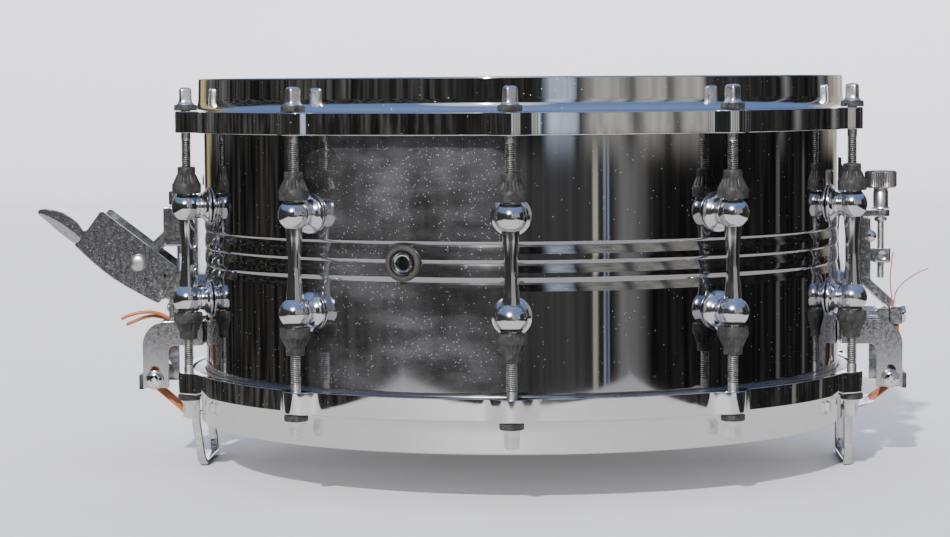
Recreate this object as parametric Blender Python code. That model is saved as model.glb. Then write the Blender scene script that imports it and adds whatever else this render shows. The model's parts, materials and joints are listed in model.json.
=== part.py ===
"""A 14 x 6.5 inch metal snare drum with die-cast hoops, ten tube lugs and a parallel-action strainer.

Units are metres and +Z is up. The world origin is the centre of the batter head's playing face, on the
drum's axis. Everything hangs from the empty drum_middle, which stands on the shell's middle plane, so the
heights below are counted from that plane. The strainer is at -X and the butt at +X. Each of these two
sides has an empty of its own, whose +X points outward, so a side's pieces give how far out they stand.
"""

import math

import bmesh
import bpy
from mathutils import Matrix, Vector

# Fit
CLEARANCE = 0.0003
WELD = 0.00003
RING_STEPS = 40
ROUND_STEPS = 8

# Shell
SHELL_RADIUS = 0.1778
SHELL_WALL = 0.0012
SHELL_HALF = 0.0825
EDGE_ROLL = 0.0061
GROOVES = ((0.0106, 0.0008), (0.0011, 0.0009), (-0.0085, 0.0017))
GROOVE_DEPTH = 0.0006
GROOVE_SLOPE = 0.0036

# Heads
FILM = 0.0005
HEAD_Z = SHELL_HALF + CLEARANCE + FILM
COLLAR_RADIUS = 0.1721
FLESH_INNER = SHELL_RADIUS + 0.00035
FLESH_OUTER = 0.1846
FLESH_TOP = 0.0746
FLESH_BOTTOM = 0.0663

# Hoops
RIM_OUTER = 0.1806
RIM_INNER = 0.1772
RIM_TOP = 0.0950
SKIRT_OUTER = 0.1885
SKIRT_INNER = 0.1851
FLANGE_TOP = 0.0774
FLANGE_BOTTOM = 0.0656
FLANGE_ROOF = 0.0750
RIM_FILLET = 0.0036
COLLAR_WALL = 0.17895
EAR_RADIUS = 0.0089
EAR_REACH = 0.0058
GATE_HALF_WIDTH = 0.024
GATE_TOP = 0.0795

# Lugs and tension rods
LUG_COUNT = 10
ROD_CIRCLE = 0.1902
ROD_RADIUS = 0.00275
ROD_BORE = 0.00315
ROD_HEAD_TOP = 0.0903
ROD_HEAD_RADIUS = 0.0035
ROD_SHOULDER = 0.0046
WASHER_RADIUS = 0.00625
WASHER_TOP = 0.0820
ROD_END = 0.0190
BORE_END = 0.0175
LUG_BALL_Z = 0.0253
LUG_BALL_RADIUS = 0.0083
CONE_TOP = 0.0465
CONE_BAND_TOP = 0.0378
CONE_BASE = 0.0325
CONE_TOP_RADIUS = 0.0050
CONE_RADIUS = 0.0082
POST_END_RADIUS = 0.0046
POST_WAIST = 0.0034
LUG_FOOT_RADIUS = 0.0104
LUG_NECK_RADIUS = 0.0063

# Vent
VENT_ANGLE = math.radians(-18)
VENT_HOLE = 0.0063
VENT_TUBE = 0.0059
VENT_BORE = 0.0037
VENT_FLANGE = 0.0090

# Throw-off
LEVER_PIVOT = (0.2033, -0.0245)
LEVER_RIVET = (0.2154, -0.0082)
LINK_TOP = (0.1992, 0.0081)
CHEEK_OUTER = 0.0145
CHEEK_INNER = 0.0133
LEVER_SKIN = 0.0012
WALL_OUTER = 0.0129
WALL_INNER = 0.0111
SLIDE_HALF = 0.0108
SLIDE_INNER = 0.1858
SLIDE_OUTER = 0.2016
SLIDE_BOTTOM = 0.0008
SLIDE_TOP = 0.0232
PIN_RADIUS = 0.0016
PIN_BORE = 0.0020
TENSION_SCREW_OUT = 0.1932
TENSION_SCREW_RADIUS = 0.0027
TENSION_KNOB_RADIUS = 0.0067
TENSION_KNOB_TOP = 0.0318
TENSION_SCREW_END = -0.0410
STRAINER_CLAMP = (0.1885, 0.1990)
STRAINER_CLAMP_Z = (-0.0430, -0.0295)

# Butt
BUTT_SCREW_OUT = 0.2024
BUTT_SCREW_RADIUS = 0.00205
BUTT_KNOB_RADIUS = 0.0090
BUTT_KNOB_Z = (0.0313, 0.0412)
BUTT_ARM_Z = (0.0153, 0.0193)
BUTT_SCREW_END = -0.0193
BUTT_CLAMP = (0.1996, 0.2136)
BUTT_CLAMP_Z = (-0.0447, -0.0346)

# Base plates, shared by the strainer and the butt
PLATE_INNER = 0.1812
PLATE_OUTER = 0.1834
PAD_INNER = 0.1783

# Snare guides
GUIDE_CHEEK = (0.0197, 0.0212)
GUIDE_OUTER = 0.2126
GUIDE_LEG = 0.1980
GUIDE_TOP = -0.0410
GUIDE_ROOF = -0.0546
GUIDE_FOOT = -0.0786
GUIDE_BAR = (0.2060, -0.0740)
GUIDE_BAR_RADIUS = 0.0040
GUIDE_SCREW_RADIUS = 0.0027
GUIDE_HEAD_RADIUS = 0.0047

# Snares and cords
SNARE_HALF_WIDTH = 0.0190
SNARE_TOP = -0.0900
SNARE_BOTTOM = -0.0920
CORD_RADIUS = 0.0010
CORD_SPREAD = 0.0088
TAIL_WIRE_RADIUS = 0.0004

# Guards
GUARD_LEG_Y = 0.0275
GUARD_THICK = 0.0032
GUARD_INNER = 0.1794
GUARD_OUTER = 0.1842
GUARD_TOP = -0.0812
GUARD_FOOT = -0.1223
GUARD_BEND = 0.0075
GUARD_KNEE = -0.0965
GUARD_LEAN = 0.13


# ---------------------------------------------------------------- scene and materials


def clear_scene():
    for old in list(bpy.data.objects):
        bpy.data.objects.remove(old, do_unlink=True)


def make_material(name, colour, metallic, roughness):
    material = bpy.data.materials.new(name)
    material.use_nodes = True
    shader = material.node_tree.nodes["Principled BSDF"]
    shader.inputs["Base Color"].default_value = (*colour, 1.0)
    shader.inputs["Metallic"].default_value = metallic
    shader.inputs["Roughness"].default_value = roughness
    material.diffuse_color = (*colour, 1.0)
    return material


def make_empty(name, parent, location=(0, 0, 0), turn=0.0):
    empty = bpy.data.objects.new(name, None)
    bpy.context.scene.collection.objects.link(empty)
    empty.parent = parent
    empty.location = location
    empty.rotation_euler = (0, 0, turn)
    return empty


# ---------------------------------------------------------------- solids


def make_object(name, bm, origin=(0, 0, 0)):
    """A linked object from a bmesh, with its faces out and its origin at the given point."""
    bmesh.ops.recalc_face_normals(bm, faces=bm.faces)
    bmesh.ops.translate(bm, verts=bm.verts, vec=-Vector(origin))
    mesh = bpy.data.meshes.new(name)
    bm.to_mesh(mesh)
    bm.free()
    made = bpy.data.objects.new(name, mesh)
    made.location = origin
    bpy.context.scene.collection.objects.link(made)
    return made


def combine(base, others, operation):
    """The base object's mesh after one exact Boolean with each other object, which is then removed."""
    for other in others:
        step = base.modifiers.new(operation.lower(), "BOOLEAN")
        step.operation = operation
        step.solver = "EXACT"
        step.object = other
    bpy.context.view_layer.update()
    graph = bpy.context.evaluated_depsgraph_get()
    mesh = bpy.data.meshes.new_from_object(base.evaluated_get(graph))
    weld(mesh)
    base.modifiers.clear()
    base.data = mesh
    for other in others:
        bpy.data.objects.remove(other, do_unlink=True)
    return base


def weld(mesh):
    """Closes the hair-thin edges that a Boolean leaves where two surfaces nearly meet."""
    bm = bmesh.new()
    bm.from_mesh(mesh)
    bmesh.ops.remove_doubles(bm, verts=bm.verts, dist=WELD)
    bmesh.ops.dissolve_degenerate(bm, dist=WELD, edges=bm.edges)
    bm.to_mesh(mesh)
    bm.free()


def finish(made, name, material, parent):
    """Names the object, gives it its material and parent, and shades its round faces smooth."""
    made.name = name
    made.data.name = name
    made.data.materials.clear()
    made.data.materials.append(material)
    made.data.shade_smooth()
    made.data.set_sharp_from_angle(angle=math.radians(35))
    made.parent = parent
    return made


def turned(profile, steps, centre=(0, 0, 0), axis="Z", name="turned", origin=(0, 0, 0), phase=0.0):
    """Turns a profile of (radius, height) points round an axis. Its ends may lie on the axis; else it closes."""
    bm = bmesh.new()
    rings = []
    for radius, height in profile:
        if radius == 0:
            rings.append([bm.verts.new((0, 0, height))] * steps)
            continue
        angles = [2 * math.pi * (step + phase) / steps for step in range(steps)]
        rings.append([bm.verts.new((radius * math.sin(a), -radius * math.cos(a), height)) for a in angles])
    open_profile = profile[0][0] == 0 or profile[-1][0] == 0
    pairs = list(zip(rings, rings[1:]))
    if not open_profile:
        pairs.append((rings[-1], rings[0]))
    for lower, upper in pairs:
        for step in range(steps):
            after = (step + 1) % steps
            corners = [lower[step], lower[after], upper[after], upper[step]]
            unique = list(dict.fromkeys(corners))
            if len(unique) > 2:
                bm.faces.new(unique)
    turns = {"Z": Matrix(), "X": Matrix.Rotation(math.pi / 2, 4, "Y"), "Y": Matrix.Rotation(-math.pi / 2, 4, "X")}
    bmesh.ops.transform(bm, matrix=Matrix.Translation(centre) @ turns[axis], verts=bm.verts)
    return make_object(name, bm, origin)


def prism(outline, low, high, axis="Y", name="prism", origin=(0, 0, 0)):
    """Extrudes an outline between two values of one axis. The outline lies in the other two, in X, Y, Z order."""
    slot = "XYZ".index(axis)
    bm = bmesh.new()
    ends = []
    for level in (low, high):
        ring = []
        for point in outline:
            place = list(point)
            place.insert(slot, level)
            ring.append(bm.verts.new(place))
        ends.append(ring)
    bm.faces.new(ends[0])
    bm.faces.new(reversed(ends[1]))
    count = len(outline)
    for index in range(count):
        after = (index + 1) % count
        bm.faces.new((ends[0][index], ends[0][after], ends[1][after], ends[1][index]))
    return make_object(name, bm, origin)


def block(x, y, z, name="block", origin=(0, 0, 0)):
    """A box between pairs of values along X, Y and Z."""
    corners = [(x[0], z[0]), (x[1], z[0]), (x[1], z[1]), (x[0], z[1])]
    return prism(corners, y[0], y[1], "Y", name, origin)


def rod(centre, radius, low, high, axis, steps=ROUND_STEPS, origin=(0, 0, 0), phase=0.0):
    """A plain round bar along an axis, between two values of it. The centre gives the other two."""
    place = list(centre)
    place.insert("XYZ".index(axis), 0)
    ends = [(0, low), (radius, low), (radius, high), (0, high)]
    return turned(ends, steps, place, axis, "rod", origin, phase)


def arc(centre, radius, start, end, steps):
    """Points along an arc, with its angles in degrees."""
    angles = [math.radians(start + (end - start) * step / steps) for step in range(steps + 1)]
    return [(centre[0] + radius * math.cos(a), centre[1] + radius * math.sin(a)) for a in angles]


def strip(path, thickness):
    """The outline of a strip of even thickness that follows a path in a plane."""
    sides = ([], [])
    for index, point in enumerate(path):
        before = Vector(path[max(index - 1, 0)])
        after = Vector(path[min(index + 1, len(path) - 1)])
        along = (after - before).normalized()
        across = Vector((-along.y, along.x)) * thickness / 2
        sides[0].append(tuple(Vector(point) + across))
        sides[1].append(tuple(Vector(point) - across))
    return sides[0] + sides[1][::-1]


def tube(name, points, radius, material, parent):
    """A cord: a round tube with filled caps along hand-placed points, smoothed by a cubic curve."""
    curve = bpy.data.curves.new(name, "CURVE")
    curve.dimensions = "3D"
    curve.bevel_depth = radius
    curve.bevel_resolution = 2
    curve.use_fill_caps = True
    smooth = smooth_path(points, 4)
    spline = curve.splines.new("POLY")
    spline.points.add(len(smooth) - 1)
    for place, point in zip(spline.points, smooth):
        place.co = (*point, 1)
    made = bpy.data.objects.new(name, curve)
    bpy.context.scene.collection.objects.link(made)
    curve.materials.append(material)
    made.parent = parent
    return made


def smooth_path(points, steps):
    """A Catmull-Rom curve through the points, with so many steps between each two."""
    corners = [Vector(p) for p in points]
    corners = [2 * corners[0] - corners[1]] + corners + [2 * corners[-1] - corners[-2]]
    found = []
    for index in range(1, len(corners) - 2):
        p0, p1, p2, p3 = corners[index - 1 : index + 3]
        for step in range(steps):
            t = step / steps
            bend = 2 * p1 + (p2 - p0) * t + (2 * p0 - 5 * p1 + 4 * p2 - p3) * t**2
            found.append((bend + (3 * p1 - p0 - 3 * p2 + p3) * t**3) / 2)
    found.append(corners[-2])
    return found


# ---------------------------------------------------------------- shell, heads and hoops


def radial_axis(made, angle):
    """Turns an object that was built towards -Y about the drum's axis to its own angle."""
    made.matrix_world = Matrix.Rotation(angle, 4, "Z") @ made.matrix_world
    return made


def build_shell(material, parent):
    roll_out = SHELL_RADIUS - EDGE_ROLL
    straight = SHELL_HALF - EDGE_ROLL
    outer = [(roll_out, -SHELL_HALF), (SHELL_RADIUS, -straight)]
    for z, lip in reversed(GROOVES):
        outer += [(SHELL_RADIUS, z - GROOVE_SLOPE), (SHELL_RADIUS - GROOVE_DEPTH, z), (SHELL_RADIUS, z + lip)]
    outer += [(SHELL_RADIUS, straight), (roll_out, SHELL_HALF)]
    inside = SHELL_RADIUS - SHELL_WALL
    inner = [(roll_out - SHELL_WALL, SHELL_HALF), (inside, straight - SHELL_WALL / 2)]
    inner += [(inside, SHELL_WALL / 2 - straight), (roll_out - SHELL_WALL, -SHELL_HALF)]
    shell = turned(outer + inner, RING_STEPS)
    hole = rod((0, 0), VENT_HOLE, -SHELL_RADIUS - 0.01, -SHELL_RADIUS + 0.01, "Y", 12)
    radial_axis(hole, VENT_ANGLE)
    combine(shell, [hole], "DIFFERENCE")
    finish(shell, "shell", material, parent)


def build_vent(material, parent):
    """The vent's eyelet, from the flange over the grooves to the flare inside the wall."""
    face = SHELL_RADIUS + CLEARANCE
    flare = SHELL_RADIUS - SHELL_WALL - 0.0006
    profile = [(VENT_BORE, face + 0.0022), (VENT_FLANGE - 0.001, face + 0.0022), (VENT_FLANGE, face)]
    profile += [(VENT_TUBE, face), (VENT_TUBE, flare), (0.0078, flare), (VENT_BORE, flare - 0.0008)]
    eyelet = turned([(r, -h) for r, h in profile], 12, axis="Y")
    radial_axis(eyelet, VENT_ANGLE)
    finish(eyelet, "vent_eyelet", material, parent)


def build_head(name, side, material, parent):
    """A drum head: its film over the bearing edge and the metal flesh hoop that the film is bonded into."""
    under = HEAD_Z - FILM
    profile = [(0, HEAD_Z), (COLLAR_RADIUS, HEAD_Z), (FLESH_INNER + FILM, SHELL_HALF - EDGE_ROLL + FILM)]
    profile += [(FLESH_INNER + FILM, FLESH_TOP), (FLESH_OUTER, FLESH_TOP), (FLESH_OUTER, FLESH_BOTTOM)]
    profile += [(FLESH_INNER, FLESH_BOTTOM), (FLESH_INNER, SHELL_HALF - EDGE_ROLL + CLEARANCE)]
    profile += [(COLLAR_RADIUS - 0.0002, under), (0, under)]
    head = turned([(r, side * z) for r, z in profile], RING_STEPS)
    finish(head, name, material, parent)


def ear_outline():
    """One ear of a hoop, seen from above, with its rod circle at -Y."""
    root = SKIRT_INNER + 0.0008
    round_end = arc((0, EAR_RADIUS - EAR_REACH - ROD_CIRCLE), EAR_RADIUS, 180, 360, 6)
    return [(-0.0105, -root)] + round_end + [(0.0105, -root)]


def build_hoop(name, side, material, parent):
    """A die-cast hoop: rim, fillet, flange and skirt, with an ear and a rod hole at each lug."""
    fillet = arc((RIM_OUTER + RIM_FILLET, FLANGE_TOP + RIM_FILLET), RIM_FILLET, 270, 180, 2)
    profile = [(SKIRT_OUTER, FLANGE_BOTTOM), (SKIRT_OUTER, FLANGE_TOP)] + fillet
    profile += [(RIM_OUTER, RIM_TOP), (RIM_INNER, RIM_TOP), (RIM_INNER, 0.0844), (COLLAR_WALL, 0.0822)]
    profile += [(COLLAR_WALL, FLANGE_ROOF), (SKIRT_INNER, FLANGE_ROOF), (SKIRT_INNER, FLANGE_BOTTOM)]
    hoop = turned([(r, side * z) for r, z in profile], RING_STEPS)
    levels = sorted((side * (FLANGE_BOTTOM + 0.0001), side * (FLANGE_TOP - 0.0001)))
    ears, holes = [], []
    for index in range(LUG_COUNT):
        angle = 2 * math.pi * index / LUG_COUNT
        ears.append(radial_axis(prism(ear_outline(), levels[0], levels[1], "Z"), angle))
        bore = rod((0, -ROD_CIRCLE), ROD_BORE, levels[0] - 0.005, levels[1] + 0.005, "Z", phase=0.4)
        holes.append(radial_axis(bore, angle))
    combine(hoop, ears, "UNION")
    if side < 0:
        gate = (-RIM_OUTER - 0.003, RIM_OUTER + 0.003)
        middle = block(gate, (-GATE_HALF_WIDTH, GATE_HALF_WIDTH), (-RIM_TOP - 0.002, -GATE_TOP))
        holes.append(middle)
    combine(hoop, holes, "DIFFERENCE")
    finish(hoop, name, material, parent)


# ---------------------------------------------------------------- lugs and tension rods


def lug_mesh():
    """A tube lug at -Y: two balls on necks and feet, the waisted post between them and the cone at each end."""
    column = [(0, CONE_TOP), (CONE_TOP_RADIUS, CONE_TOP), (CONE_RADIUS, CONE_BAND_TOP), (CONE_RADIUS, CONE_BASE)]
    column += [(POST_END_RADIUS, LUG_BALL_Z), (POST_END_RADIUS, 0.0165)]
    column += [(POST_WAIST, 0)] + [(r, -z) for r, z in reversed(column)]
    lug = turned(column, ROUND_STEPS, (0, -ROD_CIRCLE, 0))
    foot = SHELL_RADIUS + 0.00025
    ball = LUG_BALL_RADIUS
    neck = [(0, foot), (LUG_FOOT_RADIUS, foot), (LUG_FOOT_RADIUS, foot + 0.0014)]
    neck += [(LUG_NECK_RADIUS, foot + 0.0042), (LUG_NECK_RADIUS, ROD_CIRCLE - 0.0056)]
    neck += [(ball, ROD_CIRCLE - 0.0026), (ball, ROD_CIRCLE + 0.0026), (ball * 0.62, ROD_CIRCLE + 0.0070)]
    neck += [(0, ROD_CIRCLE + 0.0070)]
    arms, bores = [], []
    for side in (-1, 1):
        arms.append(turned([(r, -h) for r, h in neck], ROUND_STEPS, (0, 0, side * LUG_BALL_Z), "Y"))
        levels = sorted((side * BORE_END, side * (CONE_TOP + 0.002)))
        bores.append(rod((0, -ROD_CIRCLE), ROD_BORE, levels[0], levels[1], "Z"))
    combine(lug, arms, "UNION")
    combine(lug, bores, "DIFFERENCE")
    return lug


def build_lugs(material, parent):
    first = lug_mesh()
    for index in range(LUG_COUNT):
        made = first
        if index:
            made = bpy.data.objects.new("lug", first.data)
            bpy.context.scene.collection.objects.link(made)
            made.rotation_euler = (0, 0, 2 * math.pi * index / LUG_COUNT)
        finish(made, f"lug_{index + 1:02d}", material, parent)


def build_tension_rods(name, side, material, parent):
    """Ten tension rods with their washers, head outward. Each turns on its own axis, where its origin is."""
    profile = [(0, ROD_HEAD_TOP), (0.0026, ROD_HEAD_TOP), (ROD_HEAD_RADIUS, ROD_HEAD_TOP - 0.0012)]
    profile += [(ROD_HEAD_RADIUS, WASHER_TOP + 0.0012), (ROD_SHOULDER, WASHER_TOP)]
    profile += [(WASHER_RADIUS, WASHER_TOP), (WASHER_RADIUS, FLANGE_TOP + CLEARANCE)]
    profile += [(ROD_RADIUS, FLANGE_TOP + CLEARANCE), (ROD_RADIUS, ROD_END), (0, ROD_END)]
    first = turned([(r, side * z) for r, z in profile], ROUND_STEPS)
    for index in range(LUG_COUNT):
        made = first
        if index:
            made = bpy.data.objects.new(name, first.data)
            bpy.context.scene.collection.objects.link(made)
        angle = 2 * math.pi * index / LUG_COUNT
        made.location = (ROD_CIRCLE * math.sin(angle), -ROD_CIRCLE * math.cos(angle), 0)
        made.rotation_euler = (0, 0, angle)
        finish(made, f"{name}_{index + 1:02d}", material, parent)


# ---------------------------------------------------------------- throw-off, at the strainer side


def lever_edge():
    """The lever's lower edge, from its heel by the pivot to its end at the finger tab."""
    return [(0.2039, -0.0316), (0.2139, -0.0265), (0.2289, -0.0177), (0.2398, -0.0090), (0.2532, -0.0002)]


def build_lever(material, parent):
    """The throw lever, a channel with two cheeks, a web and a scooped finger tab. The link's axle is riveted in."""
    cheek = [(0.1930, -0.0114)] + lever_edge() + [(0.2383, 0.0211)]
    parts = [prism(cheek, side * CHEEK_INNER, side * CHEEK_OUTER) for side in (-1, 1)]
    web = strip([(0.2090, -0.0290)] + lever_edge()[1:], LEVER_SKIN * 2)
    parts.append(prism(web, -CHEEK_OUTER, CHEEK_OUTER))
    tab = strip([(0.2510, -0.0008), (0.2575, 0.0070), (0.2655, 0.0152), (0.2735, 0.0196)], 0.0024)
    parts.append(prism(tab, -0.0105, 0.0105))
    parts.append(rod(LEVER_RIVET, 0.0015, -CHEEK_OUTER, CHEEK_OUTER, "Y"))
    for side in (-1, 1):
        levels = sorted((side * (CHEEK_INNER + 0.0002), side * 0.0164))
        parts.append(rod(LEVER_RIVET, 0.0047, levels[0], levels[1], "Y"))
    bore = rod(LEVER_PIVOT, PIN_BORE, -0.02, 0.02, "Y")
    lever = combine(parts[0], parts[1:], "UNION")
    combine(lever, [bore], "DIFFERENCE")
    move_origin(lever, (LEVER_PIVOT[0], 0, LEVER_PIVOT[1]))
    finish(lever, "throw_off_lever", material, parent)


def move_origin(made, point):
    """Puts an object's origin at a point, with its shape left where it is."""
    shift = Vector(point) - made.location
    made.data.transform(Matrix.Translation(-shift))
    made.location = point


def link_outline():
    """The link's outline, round at both pins."""
    run = Vector(LINK_TOP) - Vector(LEVER_RIVET)
    aim = math.degrees(math.atan2(run.y, run.x))
    low_end = arc(LEVER_RIVET, 0.0034, aim + 90, aim + 270, 5)
    return low_end + arc(LINK_TOP, 0.0026, aim - 90, aim + 90, 5)


def build_link(material, parent):
    """The yoke between the lever and the slide: two plates on the lever's axle, held apart by a cross bar."""
    plates = [prism(link_outline(), side * 0.0042, side * 0.0062) for side in (-1, 1)]
    middle = ((LEVER_RIVET[0] + LINK_TOP[0]) / 2, (LEVER_RIVET[1] + LINK_TOP[1]) / 2)
    plates.append(rod(middle, 0.0015, -0.0052, 0.0052, "Y"))
    link = combine(plates[0], plates[1:], "UNION")
    bore = rod(LEVER_RIVET, 0.0019, -0.01, 0.01, "Y")
    combine(link, [bore], "DIFFERENCE")
    move_origin(link, (LEVER_RIVET[0], 0, LEVER_RIVET[1]))
    finish(link, "throw_off_link", material, parent)


def build_lever_pin(material, parent):
    pin = rod(LEVER_PIVOT, PIN_RADIUS, -CHEEK_INNER, CHEEK_INNER, "Y")
    finish(pin, "lever_pin", material, parent)


def mounting_pads(levels):
    """The pads that a base plate stands on the shell with."""
    return [block((PAD_INNER, PLATE_INNER + 0.0002), (-0.0090, 0.0090), z) for z in levels]


def build_strainer_base(material, parent):
    """The strainer's frame: plate, pads, two cross ribs and two walls that run out to the lever's pivot."""
    plate = block((PLATE_INNER, PLATE_OUTER), (-0.0160, 0.0160), (-0.0340, 0.0300))
    parts = mounting_pads(((-0.0335, -0.0215), (0.0165, 0.0285)))
    for z in ((-0.0015, 0.0015), (-0.0140, -0.0115)):
        parts.append(block((PLATE_INNER + 0.0005, 0.1855), (-0.0185, 0.0185), z))
    nose = arc(LEVER_PIVOT, 0.0050, -120, 60, 5)
    wall = [(PLATE_OUTER - 0.0002, 0.0280), (PLATE_OUTER - 0.0002, -0.0335), (0.1880, -0.0335)]
    wall += nose + [(0.1900, -0.0120), (0.1890, 0.0280)]
    for side in (-1, 1):
        parts.append(prism(wall, side * WALL_INNER, side * WALL_OUTER))
    combine(plate, parts, "UNION")
    bore = rod(LEVER_PIVOT, PIN_BORE, -0.02, 0.02, "Y")
    combine(plate, [bore], "DIFFERENCE")
    finish(plate, "strainer_base", material, parent)


def build_strainer_slide(material, parent):
    """The housing that the link lifts. It carries the tension screw, and is open below for the link's end."""
    side_view = [(SLIDE_INNER, SLIDE_BOTTOM), (SLIDE_OUTER - 0.0030, SLIDE_BOTTOM)]
    side_view += [(SLIDE_OUTER, SLIDE_BOTTOM + 0.0030), (SLIDE_OUTER, SLIDE_TOP), (SLIDE_INNER, SLIDE_TOP)]
    slide = prism(side_view, -SLIDE_HALF, SLIDE_HALF)
    recess = block((0.1957, SLIDE_OUTER + 0.002), (-0.0066, 0.0066), (SLIDE_BOTTOM - 0.002, 0.0175))
    bore = rod((TENSION_SCREW_OUT, 0), 0.0031, SLIDE_BOTTOM - 0.002, SLIDE_TOP + 0.002, "Z")
    combine(slide, [recess, bore], "DIFFERENCE")
    finish(slide, "strainer_slide", material, parent)


def build_tension_knob(material, parent):
    knob_bottom = SLIDE_TOP + CLEARANCE
    profile = [(0, TENSION_KNOB_TOP), (TENSION_KNOB_RADIUS - 0.0006, TENSION_KNOB_TOP)]
    profile += [(TENSION_KNOB_RADIUS, TENSION_KNOB_TOP - 0.0006), (TENSION_KNOB_RADIUS, knob_bottom)]
    profile += [(TENSION_SCREW_RADIUS, knob_bottom), (TENSION_SCREW_RADIUS, TENSION_SCREW_END)]
    profile += [(0, TENSION_SCREW_END)]
    axis = (TENSION_SCREW_OUT, 0, 0)
    knob = turned(profile, 12, axis, origin=axis)
    finish(knob, "strainer_tension_knob", material, parent)


def build_strainer_clamp(material, parent):
    """The cord clamp that the tension screw draws up or lets down, between the base's two walls."""
    clamp = block(STRAINER_CLAMP, (-SLIDE_HALF, SLIDE_HALF), STRAINER_CLAMP_Z)
    bore = rod((TENSION_SCREW_OUT, 0), 0.0031, -0.05, -0.02, "Z")
    combine(clamp, [bore], "DIFFERENCE")
    finish(clamp, "strainer_cord_clamp", material, parent)


# ---------------------------------------------------------------- butt


def build_butt_base(material, parent):
    """The butt's frame: plate, pads, the arm that holds the screw's head and two inner guide walls."""
    plate = block((PLATE_INNER, PLATE_OUTER), (-0.0150, 0.0150), (-0.0340, 0.0220))
    parts = mounting_pads(((-0.0335, -0.0215), (0.0160, 0.0215)))
    tip = arc((BUTT_SCREW_OUT, 0), 0.0050, -90, 90, 5)
    arm = [(PLATE_OUTER - 0.0005, -0.0050)] + tip + [(PLATE_OUTER - 0.0005, 0.0050)]
    parts.append(prism(arm, BUTT_ARM_Z[0], BUTT_ARM_Z[1], "Z"))
    for side in (-1, 1):
        levels = sorted((side * 0.0037, side * 0.0056))
        parts.append(block((PLATE_OUTER - 0.0005, 0.1925), levels, (-0.0250, 0.0158)))
    combine(plate, parts, "UNION")
    bore = rod((BUTT_SCREW_OUT, 0), 0.0025, 0.010, 0.025, "Z")
    combine(plate, [bore], "DIFFERENCE")
    finish(plate, "butt_base", material, parent)


def build_butt_knob(material, parent):
    """The butt's knurled knob, sleeve, collar and threaded screw, held at the arm by sleeve and collar."""
    low, top = BUTT_KNOB_Z
    over, under = BUTT_ARM_Z[1] + CLEARANCE, BUTT_ARM_Z[0] - CLEARANCE
    profile = [(0, top), (BUTT_KNOB_RADIUS - 0.0008, top), (BUTT_KNOB_RADIUS, top - 0.0008)]
    profile += [(BUTT_KNOB_RADIUS, low), (0.0043, low), (0.0043, over), (BUTT_SCREW_RADIUS, over)]
    profile += [(BUTT_SCREW_RADIUS, under), (0.0036, under), (0.0036, under - 0.0024)]
    profile += [(BUTT_SCREW_RADIUS, under - 0.0024), (BUTT_SCREW_RADIUS, BUTT_SCREW_END)]
    profile += [(0, BUTT_SCREW_END)]
    axis = (BUTT_SCREW_OUT, 0, 0)
    knob = turned(profile, 12, axis, origin=axis)
    finish(knob, "butt_tension_knob", material, parent)


def build_butt_slide(material, parent):
    """The yoke that the butt's screw lifts: nut block, two side arms with domed rivets, and the cord clamp."""
    nut = block((0.1975, 0.2075), (-0.0062, 0.0062), (-0.0105, -0.0020))
    arm = [(0.1905, 0.0148), (0.1905, -0.0225), (0.2020, -0.0350), (0.2098, -0.0350)]
    arm += [(0.1966, -0.0205), (0.1966, -0.0105), (0.2000, -0.0105), (0.2000, -0.0040)]
    arm += [(0.1966, -0.0020), (0.1966, 0.0148)]
    parts = []
    for side in (-1, 1):
        parts.append(prism(arm, side * 0.0060, side * 0.0078))
        levels = sorted((side * 0.0076, side * 0.0094))
        parts.append(rod((0.1959, 0.0048), 0.0028, levels[0], levels[1], "Y", 8))
    parts.append(block(BUTT_CLAMP, (-SLIDE_HALF, SLIDE_HALF), BUTT_CLAMP_Z))
    head_centre = (0, (BUTT_CLAMP_Z[0] + BUTT_CLAMP_Z[1]) / 2)
    parts.append(rod(head_centre, 0.0048, BUTT_CLAMP[1] - 0.0002, 0.2165, "X"))
    combine(nut, parts, "UNION")
    bore = rod((BUTT_SCREW_OUT, 0), 0.0024, -0.03, 0.01, "Z")
    combine(nut, [bore], "DIFFERENCE")
    finish(nut, "butt_slide", material, parent)


# ---------------------------------------------------------------- snare guides, guards, snares and cords


def build_guide(name, material, parent):
    """A guide bracket: two slotted cheeks that reach out and down from a plate on the shell."""
    roof_run = GUIDE_OUTER - (GUIDE_TOP - GUIDE_ROOF)
    cheek = [(PAD_INNER, GUIDE_TOP)] + arc((roof_run, GUIDE_ROOF), GUIDE_TOP - GUIDE_ROOF, 90, 0, 5)
    cheek += [(GUIDE_OUTER, GUIDE_FOOT), (GUIDE_LEG, GUIDE_FOOT)]
    cheek += arc((GUIDE_LEG - 0.0034, GUIDE_ROOF - 0.0034), 0.0034, 0, 90, 2)
    cheek += [(PAD_INNER, GUIDE_ROOF)]
    plate = block((PAD_INNER, PAD_INNER + 0.0015), (-GUIDE_CHEEK[1], GUIDE_CHEEK[1]), (GUIDE_ROOF, GUIDE_TOP))
    parts, slots = [], []
    for side in (-1, 1):
        levels = sorted((side * GUIDE_CHEEK[0], side * GUIDE_CHEEK[1]))
        parts.append(prism(cheek, levels[0], levels[1]))
        parts.append(block((GUIDE_OUTER - 0.0010, 0.2150), levels, (-0.0795, -0.0710)))
        slot = arc((GUIDE_BAR[0], -0.0692), 0.0031, 0, 180, 4)
        slot += arc((GUIDE_BAR[0], GUIDE_BAR[1]), 0.0031, 180, 360, 4)
        slots.append(prism(slot, levels[0] - 0.001, levels[1] + 0.001))
    parts.append(block((0.2135, 0.2150), (-GUIDE_CHEEK[1], GUIDE_CHEEK[1]), (-0.0795, -0.0710)))
    combine(plate, parts, "UNION")
    combine(plate, slots, "DIFFERENCE")
    finish(plate, name, material, parent)


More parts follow.
